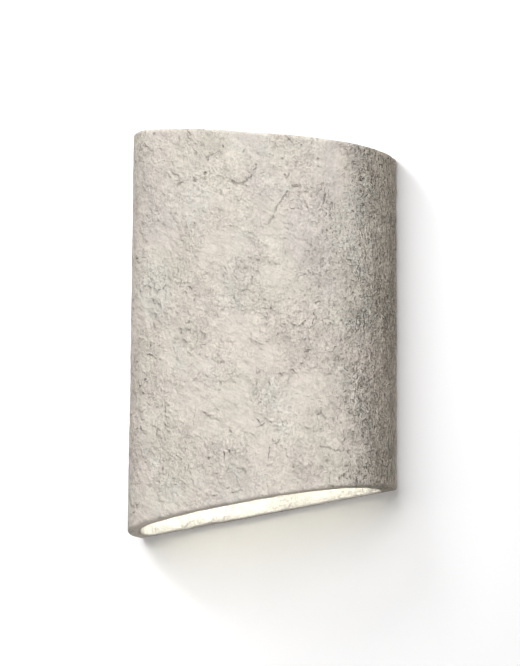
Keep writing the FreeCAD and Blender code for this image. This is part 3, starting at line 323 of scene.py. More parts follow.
def pulp_marks(look, grit):
    """The painted shade in the pits, cracks and creases, and the low brim beside each crease."""
    pit_cells = look.cells(0.0125, look.warped(0.006, 0.0022))
    pits = look.times(look.ranged(pit_cells, 0.16, 0.05), look.ranged(look.noise(0.035, 2), 0.46, 0.62))
    edge = look.cells(0.03, look.warped(0.011, 0.007), "DISTANCE_TO_EDGE")
    cracked = look.times(look.ranged(look.noise(0.024, 3), 0.60, 0.68), look.ranged(grit, 0.40, 0.52))
    cracks = look.times(look.ranged(edge, 0.020, 0.0), cracked)
    waver = look.times(look.math("SUBTRACT", look.noise(0.0062, 4, 0.65), 0.5), CREASE_WAVER)
    off = look.math("ADD", look.read("crease_off"), waver)
    on = look.times(look.read("crease_on"), look.ranged(look.noise(0.0055, 2), 0.40, 0.60, 0.12, 1.0))
    line = look.times(on, look.ranged(look.math("ABSOLUTE", off), CREASE_HALF_WIDTH, CREASE_FLOOR))
    from_brim = look.math("ABSOLUTE", look.math("SUBTRACT", off, CREASE_HALF_WIDTH))
    brim = look.times(on, look.ranged(from_brim, CREASE_HALF_WIDTH, 0.0))
    painted_mark_shade = look.math("MAXIMUM", look.math("MAXIMUM", pits, cracks), look.times(line, 0.75))
    return painted_mark_shade, brim


def look_of_pulp():
    """Hand-worked paper pulp: warm and cool patches, grit, pits, fine cracks and trowelled creases, with painted
    shade in the hollows, pits, cracks, creases and right end, and painted highlights below the top rim and on the
    raised streaks.
    """
    look = Look("paper_pulp", PULP_PLAIN, 0.94, Specular_IOR_Level=0.22)
    rough, worked = look.read("grit"), look.read("worked")
    grit = look.noise(0.0021, 1.5, 0.5)
    fibre = look.noise(0.0062, 2, 0.5, stretch=(1.7, 1.7, 0.8), lean=-32, place=look.warped(0.02, 0.004))
    coarse = look.noise(0.0029, 2.5, 0.6, stretch=(1, 1, 1.5))
    lumps = look.noise(0.019, 2, 0.45, stretch=(1.2, 1.2, 0.9))
    crust = look.ranged(look.noise(0.015, 3, 0.5, place=look.warped(0.012, 0.003)), 0.45, 0.62)
    raw = look.ranged(look.noise(0.033, 3, 0.55, place=look.warped(0.02, 0.006)), 0.40, 0.60, 0.30, 1.0)
    raw = look.times(look.math("MAXIMUM", raw, look.times(rough, 0.95)), worked)
    streak = look.times(look.read("streak"), look.ranged(look.noise(0.004, 3, 0.6), 0.38, 0.56))
    painted_pock_shade = look.times(look.math("POWER", rough, 1.6), look.ranged(coarse, 0.47, 0.35))
    clumps = look.noise(0.011, 4, 0.65, stretch=(1, 1, 1.8), place=look.warped(0.009, 0.003))
    clumps = look.times(look.ranged(clumps, 0.42, 0.60, -0.5, 0.5), rough)
    strokes = look.noise(0.0052, 3, 0.6, stretch=(3.2, 1, 0.7), lean=-20)
    calm = look.math("SUBTRACT", 1.0, rough, clamp=True)
    strokes = look.times(look.ranged(strokes, 0.36, 0.62, -0.6, 0.5), calm)
    painted_mark_shade, brim = pulp_marks(look, grit)

    shade = look.math("ADD", 1.0, look.times(raw, look.ranged(grit, 0.32, 0.66, -0.13, 0.11)))
    shade = look.times(shade, look.ranged(fibre, 0.32, 0.66, 0.96, 1.05))
    # the band below the top rim and the raised streaks are lightened as painted highlights; clumps and strokes are
    # mottled tone
    painted_highlights_and_mottling = ((look.read("worn"), 0.22), (streak, 0.32), (clumps, 0.20), (strokes, 0.10))
    # hollows, pits, cracks and creases are darkened as painted shade
    for share, amount in (*painted_highlights_and_mottling, (look.read("hollow"), -0.12), (painted_mark_shade, -0.34)):
        shade = look.tinted(shade, share, amount)
    gray = look.add("ShaderNodeCombineColor", {"Red": shade, "Green": shade, "Blue": shade}).outputs[0]
    # the flank's pits are painted a dark warm brown as painted shade
    color = look.blend(look.times(painted_pock_shade, 0.50, clamp=True), pulp_color(look), PULP_POCK_SHADE)
    look.set("Base Color", look.blend(1.0, color, gray, "MULTIPLY"))
    look.bump(
        (lumps, 0.0048),
        (look.times(raw, crust), 0.0011),
        (look.times(worked, fibre), 0.0022),
        (streak, 0.0032),
        (look.times(look.math("POWER", rough, 1.5), coarse), 0.0085),
        (look.times(raw, grit), 0.0012),
        (look.math("SUBTRACT", brim, look.times(painted_mark_shade, 1.7)), 0.0008),
    )
    return look.material


def look_of_metal(name, tones, roughness, spots):
    """Plated or bare metal: cloudy tone, fine drawn scratches, uneven gloss and dull spots."""
    look = Look(name, tones[1], roughness, Metallic=1.0)
    tone = look.blend(look.ranged(look.noise(0.006, 5, 0.65), 0.35, 0.65), *tones)
    drawn = look.noise(0.0016, 3, 0.6, stretch=(14, 1, 1))
    dull = look.ranged(look.noise(0.0045, 5, 0.7, place=look.warped(0.004, 0.001)), 0.56, 0.66)
    rub = look.math("ADD", look.noise(0.004, 4, 0.7), look.times(dull, 0.4))
    look.set("Base Color", look.blend(dull, tone, spots))
    look.set("Roughness", look.ranged(rub, 0.3, 0.8, roughness - 0.09, roughness + 0.16))
    look.bump((drawn, 0.00006), (rub, 0.00005))
    return look.material


def look_of_zinc_sheet(name, tones, roughness):
    """Zinc-coated sheet with its crystal patches and a dull bloom."""
    look = Look(name, tones[1], roughness, Metallic=1.0)
    patches = {"Vector": look.warped(0.004, 0.001), "Scale": 1 / 0.0055}
    cells = look.add("ShaderNodeTexVoronoi", patches).outputs["Color"]
    crystal = look.add("ShaderNodeSeparateColor", {0: cells}).outputs[0]
    bloom = look.ranged(look.noise(0.009, 5, 0.7), 0.55, 0.7, 0, 0.6)
    look.set("Base Color", look.blend(bloom, look.blend(crystal, *tones), (0.72, 0.72, 0.71)))
    look.set("Roughness", look.ranged(crystal, 0, 1, roughness - 0.08, roughness + 0.12))
    look.bump((crystal, 0.00003), (look.noise(0.0008, 3, 0.7), 0.00003))
    return look.material


DUST_SHARE = 0.25


def look_of_coat(name, tones, roughness, peel, depth, grime=(0.42, 0.40, 0.36), **sockets):
    """Paint or moulded plastic: a slight drift of tone, orange peel or moulding grain, and dust in patches."""
    look = Look(name, tones[1], roughness, **sockets)
    tone = look.blend(look.ranged(look.noise(0.025, 3, 0.5), 0.38, 0.62), *tones)
    dust = look.ranged(look.noise(0.011, 5, 0.65), 0.50, 0.72, 0, DUST_SHARE)
    fleck = look.ranged(look.noise(0.0011, 2, 0.5), 0.70, 0.76, 0, DUST_SHARE)
    tone = look.blend(fleck, look.blend(dust, tone, grime), grime)
    look.set("Base Color", tone)
    look.set("Roughness", look.ranged(look.noise(0.007, 4, 0.6), 0.35, 0.68, roughness - 0.05, roughness + 0.14))
    look.bump((look.noise(0.02, 2, 0.4), 0.0003), (look.noise(peel, 3, 0.55), depth))
    return look.material


def look_of_insulation(name, first, second, share_at):
    """Extruded wire insulation with a second colour wound round it, or only a shade of the first."""
    look = Look(name, first, 0.38)
    bands = {"Vector": look.place, "Scale": 38, "Distortion": 1.2, "Detail": 1}
    wave = look.add("ShaderNodeTexWave", bands, bands_direction="DIAGONAL").outputs["Fac"]
    winding = look.ranged(wave, share_at, share_at + 0.06)
    tone = look.blend(winding, first, second)
    worn = look.ranged(look.noise(0.005, 4, 0.7), 0.52, 0.70, 0, 0.35)
    look.set("Base Color", look.blend(worn, tone, (0.5, 0.48, 0.44)))
    look.set("Roughness", look.ranged(look.noise(0.004, 3), 0.35, 0.65, 0.30, 0.52))
    look.bump((look.noise(0.0012, 3, 0.6), 0.00008))
    return look.material


def look_of_braid(name):
    """Glass-yarn sleeve: two sets of yarns crossing on the slant."""
    look = Look(name, (0.74, 0.72, 0.66), 0.85, Sheen_Weight=0.25)
    yarns = []
    for lean in (38, -38):
        turn = (0, math.radians(lean), 0)
        turned = look.add("ShaderNodeMapping", {"Vector": look.place, "Rotation": turn}).outputs[0]
        wave = look.add("ShaderNodeTexWave", {"Vector": turned, "Scale": 300, "Distortion": 0.6, "Detail": 2})
        yarns.append(wave.outputs["Fac"])
    weave = look.math("MAXIMUM", *yarns)
    fuzz = look.noise(0.0007, 4, 0.7)
    tone = look.blend(look.ranged(weave, 0.2, 0.9), (0.42, 0.40, 0.35), (0.80, 0.78, 0.72))
    look.set("Base Color", look.blend(look.ranged(look.noise(0.012, 3), 0.45, 0.7, 0, 0.4), tone, (0.62, 0.56, 0.45)))
    look.bump((weave, 0.0004), (fuzz, 0.0002))
    return look.material


def look_of_glow(name):
    """Opal glass of a lit bulb: brightest round its middle, a shade dimmer and warmer at its neck."""
    look = Look(name, (0.86, 0.84, 0.79), 0.22, Coat_Weight=0.4, Emission_Strength=1.05)
    height = look.add("ShaderNodeSeparateXYZ", {0: look.place}).outputs[2]
    neck = look.ranged(height, -0.036, -0.012)
    cloud = look.ranged(look.noise(0.02, 3, 0.5), 0.3, 0.7, 0, 0.25)
    warm = look.blend(neck, (0.95, 0.72, 0.46), (1.0, 0.93, 0.80))
    look.set("Emission Color", look.blend(cloud, warm, (1.0, 0.87, 0.70)))
    look.set("Base Color", look.blend(cloud, (0.88, 0.86, 0.81), (0.80, 0.77, 0.71)))
    look.bump((look.noise(0.014, 2, 0.4), 0.0002))
    return look.material


def look_of_black_glass(name):
    """Dark glass of the bulb's contact insulator, with pale rubbed places."""
    look = Look(name, (0.012, 0.012, 0.014), 0.12, Coat_Weight=0.6)
    rubbed = look.ranged(look.noise(0.003, 4, 0.7), 0.5, 0.7)
    look.set("Base Color", look.blend(rubbed, (0.010, 0.010, 0.012), (0.05, 0.045, 0.04)))
    look.set("Roughness", look.ranged(look.noise(0.002, 3), 0.35, 0.65, 0.08, 0.3))
    look.bump((look.noise(0.003, 3), 0.0001))
    return look.material


CAP_METAL = (((0.62, 0.60, 0.56), (0.78, 0.76, 0.72)), 0.24, (0.45, 0.40, 0.33))
RUBBER_DUST = (0.2, 0.19, 0.17)
# How each material slot is finished: its maker and what the maker is given after the name
FINISHES = {
    "zinc_sheet": (look_of_zinc_sheet, ((0.50, 0.52, 0.54), (0.66, 0.68, 0.70)), 0.36),
    "zinc_hardware": (look_of_metal, ((0.55, 0.56, 0.57), (0.72, 0.73, 0.74)), 0.30, (0.42, 0.40, 0.37)),
    "brass": (look_of_metal, ((0.66, 0.45, 0.18), (0.86, 0.66, 0.32)), 0.27, (0.36, 0.22, 0.10)),
    "cap_metal": (look_of_metal, *CAP_METAL),
    "white_sheet": (look_of_coat, ((0.76, 0.76, 0.74), (0.82, 0.82, 0.81)), 0.42, 0.0016, 0.00035),
    "holder_plastic": (look_of_coat, ((0.78, 0.775, 0.74), (0.84, 0.84, 0.82)), 0.20, 0.0009, 0.00006),
    "bulb_collar": (look_of_coat, ((0.79, 0.785, 0.76), (0.85, 0.845, 0.82)), 0.34, 0.0008, 0.00012),
    "porcelain": (look_of_coat, ((0.78, 0.76, 0.70), (0.84, 0.82, 0.77)), 0.13, 0.003, 0.00012),
    "block_plastic": (look_of_coat, ((0.72, 0.68, 0.57), (0.79, 0.76, 0.67)), 0.38, 0.0007, 0.0001),
    "grommet_rubber": (
        look_of_coat, ((0.022, 0.022, 0.022), (0.040, 0.039, 0.038)), 0.62, 0.0006, 0.00015, RUBBER_DUST
    ),
    "live_insulation": (look_of_insulation, (0.155, 0.058, 0.026), (0.125, 0.046, 0.022), 0.5),
    "neutral_insulation": (look_of_insulation, (0.022, 0.105, 0.40), (0.018, 0.085, 0.33), 0.5),
    "earth_insulation": (look_of_insulation, (0.70, 0.56, 0.03), (0.035, 0.27, 0.06), 0.58),
    "woven_sleeve": (look_of_braid,),
    "opal_globe": (look_of_glow,),
    "cap_glass": (look_of_black_glass,),
}
SHADER_SETTINGS = {
    "holder_plastic": {"Coat_Weight": 0.2},
    "porcelain": {"Coat_Weight": 0.5},
    "block_plastic": {"Subsurface_Weight": 0.15},
}


def finish_nodes():
    """Gives every CAD node that stays its finish."""
    made = {}
    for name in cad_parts:
        for slot in bpy.data.objects[name].material_slots:
            finish = slot.material.name.split(".")[0]
            if finish in FINISHES:
                if finish not in made:
                    maker, *values = FINISHES[finish]
                    made[finish] = maker(finish + "_finish", *values, **SHADER_SETTINGS.get(finish, {}))
                slot.material = made[finish]
            elif finish != "paper_pulp" and not finish.endswith("_finish"):
                raise SystemExit(f"no finish for {name}: {finish}")


# The bulb cap's rolled thread: its grid and pitch, then shares of the cap's radius, then shares of its height
CAP_COLUMNS, CAP_ROWS, THREAD_PITCH, CAP_EASE = 60, 56, 2.82 * MM, 0.02 * MM
THREAD_CREST, THREAD_DEPTH, FOOT_TAPER = 0.955, 0.055, 0.10
THREAD_START, THREAD_FULL, THREAD_FADES, THREAD_END, SKIRT_START, TAPER_END = 0.06, 0.16, 0.84, 0.92, 0.94, 0.07


def ramp(value, low, high):
    """0 at low, 1 at high and straight between them."""
    return min(1, max(0, (value - low) / (high - low)))


def build_bulb_cap():
    """The bulb's screw cap with its rolled thread, in the plain cap's place."""
    low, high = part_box("bulb_cap")
    middle_x, middle_y = (low[0] + high[0]) / 2, (low[1] + high[1]) / 2
    radius, tall = (high[0] - low[0]) / 2, high[2] - low[2]
    mesh = bpy.data.meshes.new("bulb_cap_rolled")
    shape = bmesh.new()
    rings = []
    for row in range(CAP_ROWS + 1):
        share = row / CAP_ROWS
        z = low[2] + CAP_EASE + (tall - 2 * CAP_EASE) * share
        fade = ramp(share, THREAD_START, THREAD_FULL) * ramp(share, THREAD_END, THREAD_FADES)
        crest = 1 if share > SKIRT_START else THREAD_CREST
        taper = FOOT_TAPER * ramp(share, TAPER_END, 0)
        ring = []
        for column in range(CAP_COLUMNS):
            angle = 2 * math.pi * column / CAP_COLUMNS
            rolled = 0.5 + 0.5 * math.cos(2 * math.pi * (z - low[2]) / THREAD_PITCH - angle)
            r = radius * (crest - THREAD_DEPTH * (1 - rolled) * fade - taper)
            ring.append(shape.verts.new((middle_x + r * math.cos(angle), middle_y + r * math.sin(angle), z)))
        rings.append(ring)
    for below, above in zip(rings, rings[1:]):
        for i in range(CAP_COLUMNS):
            j = (i + 1) % CAP_COLUMNS
            shape.faces.new((below[i], below[j], above[j], above[i])).smooth = True
    shape.faces.new(rings[0][::-1])
    shape.faces.new(rings[-1])
    shape.to_mesh(mesh)
    shape.free()
    mesh.materials.append(look_of_metal("cap_metal_rolled", *CAP_METAL))
    cap = bpy.data.objects.new("bulb_cap_rolled", mesh)
    SCENE.collection.objects.link(cap)
    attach(cap, "bulb")
    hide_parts("bulb_cap")


# ---------------------------------------------------------------- the shade's skin

HALF_WIDTH, DEPTH, SIDE_FLAT, END_RADIUS, BACK_CORNER = (mm * MM for mm in (131, 90, 15, 63, 4))
SHELL_WALL, BACK_WALL, INNER_CORNER, OUTER_LIP, INNER_LIP = (mm * MM for mm in (13, 8, 6, 3, 2))
FOOT_LEFT, FOOT_RIGHT, TOP_LEFT, TOP_RIGHT = (mm * MM for mm in (-190, -156, 198, 159))


def foot_at(x):
    return FOOT_LEFT + (FOOT_RIGHT - FOOT_LEFT) * (x + HALF_WIDTH) / (2 * HALF_WIDTH)


def top_at(x):
    return TOP_LEFT + (TOP_RIGHT - TOP_LEFT) * (x + HALF_WIDTH) / (2 * HALF_WIDTH)


# How many columns each run of the half outline gets: back, back corner, side flat, end arc, front arc
COLUMNS = (20, 6, 5, 52, 64)
LIP_STEPS, FACE_ROWS, INNER_ROWS = 4, 246, 56
SHARP_ANGLE = math.radians(55)


def outline(half, back, front, end_radius, corner):
    """Points, outward directions and arc lengths round the D, from the middle of the back over the right."""
    reach, rise = half - end_radius, front - SIDE_FLAT
    wide = (reach**2 + rise**2 - end_radius**2) / (2 * (rise - end_radius))
    lean = math.asin(reach / (wide - end_radius))
    quarter = math.pi / 2

    def arc(x, depth, radius, start, stop, count):
        for step in range(count):
            angle = start + (stop - start) * step / count
            direction = (math.cos(angle), math.sin(angle))
            yield (x + radius * direction[0], depth + radius * direction[1]), direction

    def run(start, stop, direction, count):
        for step in range(count):
            share = step / count
            yield (start[0] + (stop[0] - start[0]) * share, start[1] + (stop[1] - start[1]) * share), direction

    columns = [
        *run((0, back), (half - corner, back), (0, -1), COLUMNS[0]),
        *arc(half - corner, back + corner, corner, -quarter, 0, COLUMNS[1]),
        *run((half, back + corner), (half, SIDE_FLAT), (1, 0), COLUMNS[2]),
        *arc(half - end_radius, SIDE_FLAT, end_radius, 0, quarter - lean, COLUMNS[3]),
        *arc(0, front - wide, wide, quarter - lean, quarter, COLUMNS[4]),
    ]
    middle = ((0, front), (0, 1))
    left = [((-x, depth), (-across, out)) for (x, depth), (across, out) in reversed(columns[1:])]
    points, directions = (np.array(part) for part in zip(*columns, middle, *left))
    points[:, 1] *= -1
    directions[:, 1] *= -1
    return points, directions


def smooth_noise(points, size, seed, stretch=(1, 1, 1)):
    """Noise from -1 to 1 at each point, with features of about that size in metres."""
    places = points / (size * np.array(stretch)) + seed * np.array((17.3, 5.7, 11.9))
    return np.array([noise.noise(place) for place in places.tolist()])


def build_skin():
    """The shade's whole surface as one closed grid: outside, lips, inside and back, worked like wet pulp."""
    outer, outer_way = outline(HALF_WIDTH, 0, DEPTH, END_RADIUS, BACK_CORNER)
    inner, inner_way = outline(
        HALF_WIDTH - SHELL_WALL, BACK_WALL, DEPTH - SHELL_WALL, END_RADIUS - SHELL_WALL, INNER_CORNER
    )
    rows, sides = [], []

    def add_row(points, height, inner):
        rows.append(np.column_stack((points, height)))
        sides.append(inner)

    def add_lip(edge_at, sign, outside_first):
        """The rounded lip round one mouth, from one skin to the other."""
        outside, inside = [], []
        for step in range(LIP_STEPS):
            angle = math.pi / 2 * step / LIP_STEPS
            back, sunk = 1 - math.cos(angle), 1 - math.sin(angle)
            outside.append((outer - outer_way * OUTER_LIP * back, OUTER_LIP * sunk, False))
            inside.append((inner + inner_way * INNER_LIP * back, INNER_LIP * sunk, True))
        flat_outer, flat_inner = outer - outer_way * OUTER_LIP, inner + inner_way * INNER_LIP
        flat = [(flat_outer + (flat_inner - flat_outer) * share, 0, False) for share in (0, 0.25, 0.5, 0.75, 1)]
        profile = outside + flat + inside[::-1]
        for points, sunk, inner_side in profile if outside_first else profile[::-1]:
            add_row(points, edge_at(points[:, 0]) + sign * sunk, inner_side)

    def add_face(points, start, stop, count, inner_side):
        for step in range(1, count):
            share = step / count
            add_row(points, start * (1 - share) + stop * share, inner_side)

    add_face(outer, foot_at(outer[:, 0]) + OUTER_LIP, top_at(outer[:, 0]) - OUTER_LIP, FACE_ROWS, False)
    add_lip(top_at, -1, True)
    add_face(inner, top_at(inner[:, 0]) - INNER_LIP, foot_at(inner[:, 0]) + INNER_LIP, INNER_ROWS, True)
    add_lip(foot_at, 1, False)

    grid = np.array(rows)
    count, columns = grid.shape[:2]
    index = np.arange(count * columns).reshape(count, columns)
    corners = (index, np.roll(index, -1, 0), np.roll(np.roll(index, -1, 1), -1, 0), np.roll(index, -1, 1))
    faces = np.stack([corner.reshape(-1) for corner in corners], 1)
    points = grid.reshape(-1, 3)
    normals = grid_normals(grid)
    moved, marks = work_surface(points, normals, np.repeat(sides, columns))
    mesh = bpy.data.meshes.new("shade_skin")
    mesh.from_pydata(moved.tolist(), [], faces.tolist())
    for name, values in marks.items():
        mesh.attributes.new(name, "FLOAT", "POINT").data.foreach_set("value", values.astype(np.float32))
    skin = bpy.data.objects.new("shade_skin", mesh)
    SCENE.collection.objects.link(skin)
    cut_openings(skin)
    mesh = skin.data
    mesh.polygons.foreach_set("use_smooth", np.ones(len(mesh.polygons), bool))
    mesh.set_sharp_from_angle(angle=SHARP_ANGLE)
    mesh.materials.clear()
    mesh.materials.append(look_of_pulp())
    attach(skin, "lamp")
    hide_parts("shade_shell")


def grid_normals(grid):
    """Outward normals of a grid that closes on itself both ways."""
    along = np.roll(grid, -1, 1) - np.roll(grid, 1, 1)
    up = np.roll(grid, -1, 0) - np.roll(grid, 1, 0)
    normals = np.cross(up, along).reshape(-1, 3)
    return normals / np.linalg.norm(normals, axis=1)[:, None]


def smooth_step(value, low, high):
    share = np.clip((value - low) / (high - low), 0, 1)
    return share * share * (3 - 2 * share)


# Where the rough right flank and the painted shade of its end run in, the painted highlight below the top rim, and
# the back's resting face
FLANK_START, FLANK_FULL, SHADE_START, SHADE_FULL = 0.094, 0.121, 0.113, 0.131
PAINTED_HIGHLIGHT_FROM, PAINTED_HIGHLIGHT_TO, BACK_EDGE, RESTING_BEHIND = 4.4 * MM, 1.6 * MM, -2.5 * MM, -0.0095
# Depths and widths in mm: pressed creases, raised streaks, and how heights are eased to stay below the solid's face
CREASE_DEPTH, CREASE_WIDTH, STREAK_HEIGHT, CREST, EASE = 0.42, 1.9, 0.6, 0.30, 0.28


def work_surface(points, normals, inside):
    """Moves the skin in as a hand leaves it, and says where it is gritty and creased, where shade is painted into
    hollows and the right end, and where a highlight is painted below the top rim.
    """
    x, y, z = points.T
    swell = smooth_noise(points, 0.10, 1)
    lumps = smooth_noise(points, 0.030, 2) + 0.5 * smooth_noise(points, 0.016, 3)
    smears = smooth_noise(points, 0.020, 4, stretch=(1.6, 1, 0.8))
    knobs = smooth_noise(points, 0.0085, 5)
    beads = smooth_noise(points, 0.0046, 6)
    ridged = 1 - np.abs(smooth_noise(points, 0.013, 7, stretch=(0.55, 0.55, 2.6)))
    flank = smooth_step(x, FLANK_START, FLANK_FULL) * smooth_step(-y, 0.0, 0.02)
    patch = smooth_step(smooth_noise(points, 0.045, 8), -0.25, 0.25)
    right_front = smooth_step(x, -0.01, 0.07) * (1 - flank)
    height = (
        0.70 * swell
        + (0.60 + 0.25 * right_front) * lumps
        + 0.34 * smooth_step(smears, -0.12, 0.12)
        + (0.28 + 0.26 * patch + 0.16 * right_front + 0.40 * flank) * knobs
        + (0.16 + 0.16 * patch + 0.30 * flank) * beads
        + flank * 0.55 * smooth_step(ridged, 0.84, 1.0)
    )
    unworked = inside | (y > BACK_EDGE)
    off, on, streak = creases(points, unworked)
    height = height - CREASE_DEPTH * on * np.exp(-((off / CREASE_WIDTH) ** 2)) + STREAK_HEIGHT * streak
    dent, painted_mark_shade = dents(points, unworked)
    height = height - dent
    # painted shade in the relief's low places and in the pits and dents
    hollow = np.clip(smooth_step(-(knobs + beads), 0.45, 1.1) * 0.6 + painted_mark_shade, 0, 1)
    height = -EASE * np.log1p(np.exp(-(height - CREST) / EASE))
    resting = smooth_step(np.abs(normals[:, 1]), 0.9, 0.97) * (y > RESTING_BEHIND)
    height = height * (1 - 0.85 * resting)
    height = np.where(inside, np.minimum(height * 0.8, -0.05), height)
    marks = {
        "hollow": hollow,
        "grit": 0.22 + 0.30 * patch + 0.16 * right_front + 0.85 * flank,
        # painted shade over the right end
        "shaded": smooth_step(x, SHADE_START, SHADE_FULL) * ~inside,
        "crease_off": off,
        "crease_on": on,
        # a painted highlight in a band just below the top rim
        "worn": smooth_step(z, top_at(x) - PAINTED_HIGHLIGHT_FROM, top_at(x) - PAINTED_HIGHLIGHT_TO),
        "streak": streak,
        "worked": np.where(inside, 0.3, 1.0),
        "inner": inside * 0.9,
    }
    return points + normals * height[:, None] * MM, marks


# Creases pressed into the front, as (way round from the front's middle, height) in mm
CREASES = (
    ((56, 134), (54, 129), (56, 122), (52, 113), (46, 104), (43, 99), (36, 85)),
    ((56, 122), (66, 120), (74, 118)),
    ((81, 117), (90, 121), (94, 121)),
    ((89, 129), (89, 113), (87, 102)),
    ((95, 106), (94, 88)),
    ((89, 82), (86, 73)),
    ((87, 54), (87, 49), (83, 45)),
    ((116, 28), (110, 23), (104, 16)),
    ((109, 21), (103, 11)),
    ((77, 8), (85, 13)),
    ((69, -36), (78, -32)),
    ((95, -45), (99, -43), (103, -37)),
    ((57, -51), (65, -58)),
    ((80, -91), (85, -93), (87, -87)),
    ((108, -118), (112, -112)),
    ((-66, 134), (-59, 133), (-51, 136)),
    ((-43, 138), (-39, 134), (-27, 136)),
    ((-3, 131), (3, 127), (14, 129), (20, 134), (24, 142)),
    ((20, 103), (26, 101)),
    ((9, 45), (18, 46)),
    ((-64, -14), (-56, -18)),
    ((-53, -15), (-49, -19), (-45, -22)),
    ((-27, -12), (-29, -22)),
    ((-27, -48), (-31, -49), (-37, -56), (-41, -58)),
)
# Raised streaks left on the right end, and one curl near its foot
STREAKS = (
    ((136, 69), (136, 47)),
    ((127, 34), (127, 15)),
    ((123, 87), (127, 78)),
    ((121, 5), (121, -18)),
    ((120, -42), (116, -74)),
    ((130, -87), (133, -121)),
    ((156, 15), (156, -12)),
    ((127, -136), (132, -133), (139, -134), (142, -139), (138, -145), (133, -148)),
)
# Shallow thumb dents, placed as creases are
DENTS = (
    (-88, 147), (-93, 153), (-104, 161), (-104, 98), (-77, 81), (-13, 50), (-30, 23), (8, 33), (-5, -27), (-54, -54),
    (99, 75), (51, -37), (-60, 20), (30, -100), (-15, -135), (70, -130),
)
DENT_RADIUS, DENT_DEPTH = 4.0, 0.55
# Small pits, scattered between these limits in mm
PITS, PIT_SEED = 190, 7
PIT_WAYS, PIT_HEIGHTS, PIT_RADII, PIT_DEPTHS = (-170, 170), (-175, 185), (1.1, 2.3), (0.25, 0.8)
# The offset, in mm, of a point that no line is near
FAR = 9.0


def way_round(points):
    """How far each point lies round the outside from the front's middle, in mm, to the right."""
    reach, rise = HALF_WIDTH - END_RADIUS, DEPTH - SIDE_FLAT
    wide = (reach**2 + rise**2 - END_RADIUS**2) / (2 * (rise - END_RADIUS))
    lean = math.asin(reach / (wide - END_RADIUS))
    x, depth = np.abs(points[:, 0]), -points[:, 1]
    on_front = np.arctan2(x, depth - (DEPTH - wide))
    on_end = np.arctan2(x - reach, np.maximum(depth - SIDE_FLAT, 0))
    way = np.where(on_front < lean, on_front * wide, lean * wide + (on_end - lean) * END_RADIUS)
    return np.sign(points[:, 0]) * (way + np.maximum(SIDE_FLAT - depth, 0)) / MM


def near_line(way, height, line):
    """Side offset from a line, distance from it, and how far along it each point is, in mm."""
    offset, distance, along = np.full(len(way), FAR), np.full(len(way), FAR), np.zeros(len(way))
    gone = 0.0
    for (x0, z0), (x1, z1) in zip(line, line[1:]):
        length = math.hypot(x1 - x0, z1 - z0)
        ux, uz = (x1 - x0) / length, (z1 - z0) / length
        step = np.clip((way - x0) * ux + (height - z0) * uz, 0, length)
        dx, dz = way - x0 - ux * step, height - z0 - uz * step
        away = np.hypot(dx, dz)
        nearer = away < distance
        side = np.where(dx * uz - dz * ux >= 0, 1.0, -1.0)
        offset = np.where(nearer, side * away, offset)
        along = np.where(nearer, gone + step, along)
        distance = np.minimum(distance, away)
        gone += length
    return offset, distance, along, gone


def creases(points, unworked):
    """The nearest crease's side offset in mm, how much of it there is, and the share of raised streaks."""
    way, height = way_round(points), points[:, 2] / MM
    off, on, streak = np.full(len(points), 6.0), np.zeros(len(points)), np.zeros(len(points))
    for line in CREASES:
        offset, distance, along, length = near_line(way, height, line)
        ends = smooth_step(np.minimum(along, length - along), -0.5, 3.0)
        weight = np.where(unworked, 0, ends * (1 - smooth_step(distance, 2.0, 3.6)))
        stronger = weight > on
        off, on = np.where(stronger, offset, off), np.where(stronger, weight, on)
    for line in STREAKS:
        offset, distance, along, length = near_line(way, height, line)
        ends = smooth_step(np.minimum(along, length - along), -0.5, 6.0)
        streak += np.where(unworked, 0, ends * np.exp(-((distance / 1.6) ** 2)))
    return off, on, streak


def dents(points, unworked):
    """Shallow thumb dents in known places, small pits scattered but always the same, and the painted shade in them.
    """
    rng = random.Random(PIT_SEED)
    way, height = way_round(points), points[:, 2] / MM
    dent, painted_mark_shade = np.zeros(len(points)), np.zeros(len(points))
    places = [(x, z, DENT_RADIUS, DENT_DEPTH) for x, z in DENTS]
    for _ in range(PITS):
        places.append(tuple(rng.uniform(*limits) for limits in (PIT_WAYS, PIT_HEIGHTS, PIT_RADII, PIT_DEPTHS)))
    for x, z, radius, depth in places:
        near = (np.abs(way - x) < 4 * radius) & (np.abs(height - z) < 4 * radius) & ~unworked
        away = np.hypot(way[near] - x, height[near] - z)
        dent[near] += depth * np.exp(-((away / radius) ** 2))
        painted_mark_shade[near] += min(depth, 0.6) * np.exp(-((away / min(radius, 1.6)) ** 2))
    return dent, painted_mark_shade


# The window behind the bracket, cut right through, and the insert sockets, which leave the back's outer face whole
WINDOW_HALF_X, WINDOW_HALF_Z, WINDOW_CORNER, CORNER_STEPS = 0.054, 0.032, 0.006, 6
SOCKET_X, SOCKET_Z, SOCKET_RADIUS, SOCKET_SIDES = 0.061, 0.039, 0.00305, 24
BEHIND_BACK, SOCKET_FLOOR, PAST_BACK_WALL = 0.002, -0.002, -0.0085


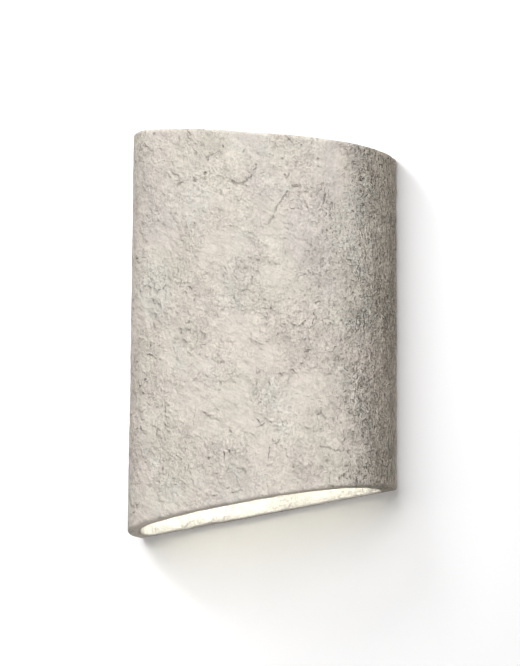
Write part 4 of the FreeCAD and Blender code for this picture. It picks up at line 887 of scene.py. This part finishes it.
def cut_openings(skin):
    """The window behind the bracket and the four insert sockets."""
    tool = bpy.data.meshes.new("cutter")
    shape = bmesh.new()
    rim = []
    for side_x, side_z, start in ((1, 1, 0), (-1, 1, 90), (-1, -1, 180), (1, -1, 270)):
        middle_x, middle_z = side_x * (WINDOW_HALF_X - WINDOW_CORNER), side_z * (WINDOW_HALF_Z - WINDOW_CORNER)
        for step in range(CORNER_STEPS + 1):
            angle = math.radians(start + 90 / CORNER_STEPS * step)
            rim.append((middle_x + WINDOW_CORNER * math.cos(angle), middle_z + WINDOW_CORNER * math.sin(angle)))
    add_prism(shape, rim, BEHIND_BACK, PAST_BACK_WALL)
    turns = np.linspace(0, 2 * math.pi, SOCKET_SIDES, endpoint=False)
    for x in (-SOCKET_X, SOCKET_X):
        for z in (-SOCKET_Z, SOCKET_Z):
            ring = [(x + SOCKET_RADIUS * math.cos(turn), z + SOCKET_RADIUS * math.sin(turn)) for turn in turns]
            add_prism(shape, ring, SOCKET_FLOOR, PAST_BACK_WALL)
    shape.to_mesh(tool)
    shape.free()
    cutter = bpy.data.objects.new("cutter", tool)
    SCENE.collection.objects.link(cutter)
    modifier = skin.modifiers.new("openings", "BOOLEAN")
    modifier.object = cutter
    modifier.solver = "EXACT"
    bpy.context.view_layer.update()
    cut = bpy.data.meshes.new_from_object(skin.evaluated_get(bpy.context.evaluated_depsgraph_get()))
    skin.modifiers.clear()
    old, skin.data = skin.data, cut
    bpy.data.meshes.remove(old)
    cut.name = "shade_skin"
    bpy.data.objects.remove(cutter)


def add_prism(shape, ring, start, stop):
    """A closed prism between two depths."""
    ends = [[shape.verts.new((x, y, z)) for x, z in ring] for y in (start, stop)]
    count = len(ring)
    for i in range(count):
        j = (i + 1) % count
        shape.faces.new((ends[0][i], ends[1][i], ends[1][j], ends[0][j]))
    shape.faces.new(ends[0])
    shape.faces.new(reversed(ends[1]))
    bmesh.ops.recalc_face_normals(shape, faces=shape.faces)


place_camera()
light_up(build_backdrop())
build_skin()
build_bulb_cap()
finish_nodes()
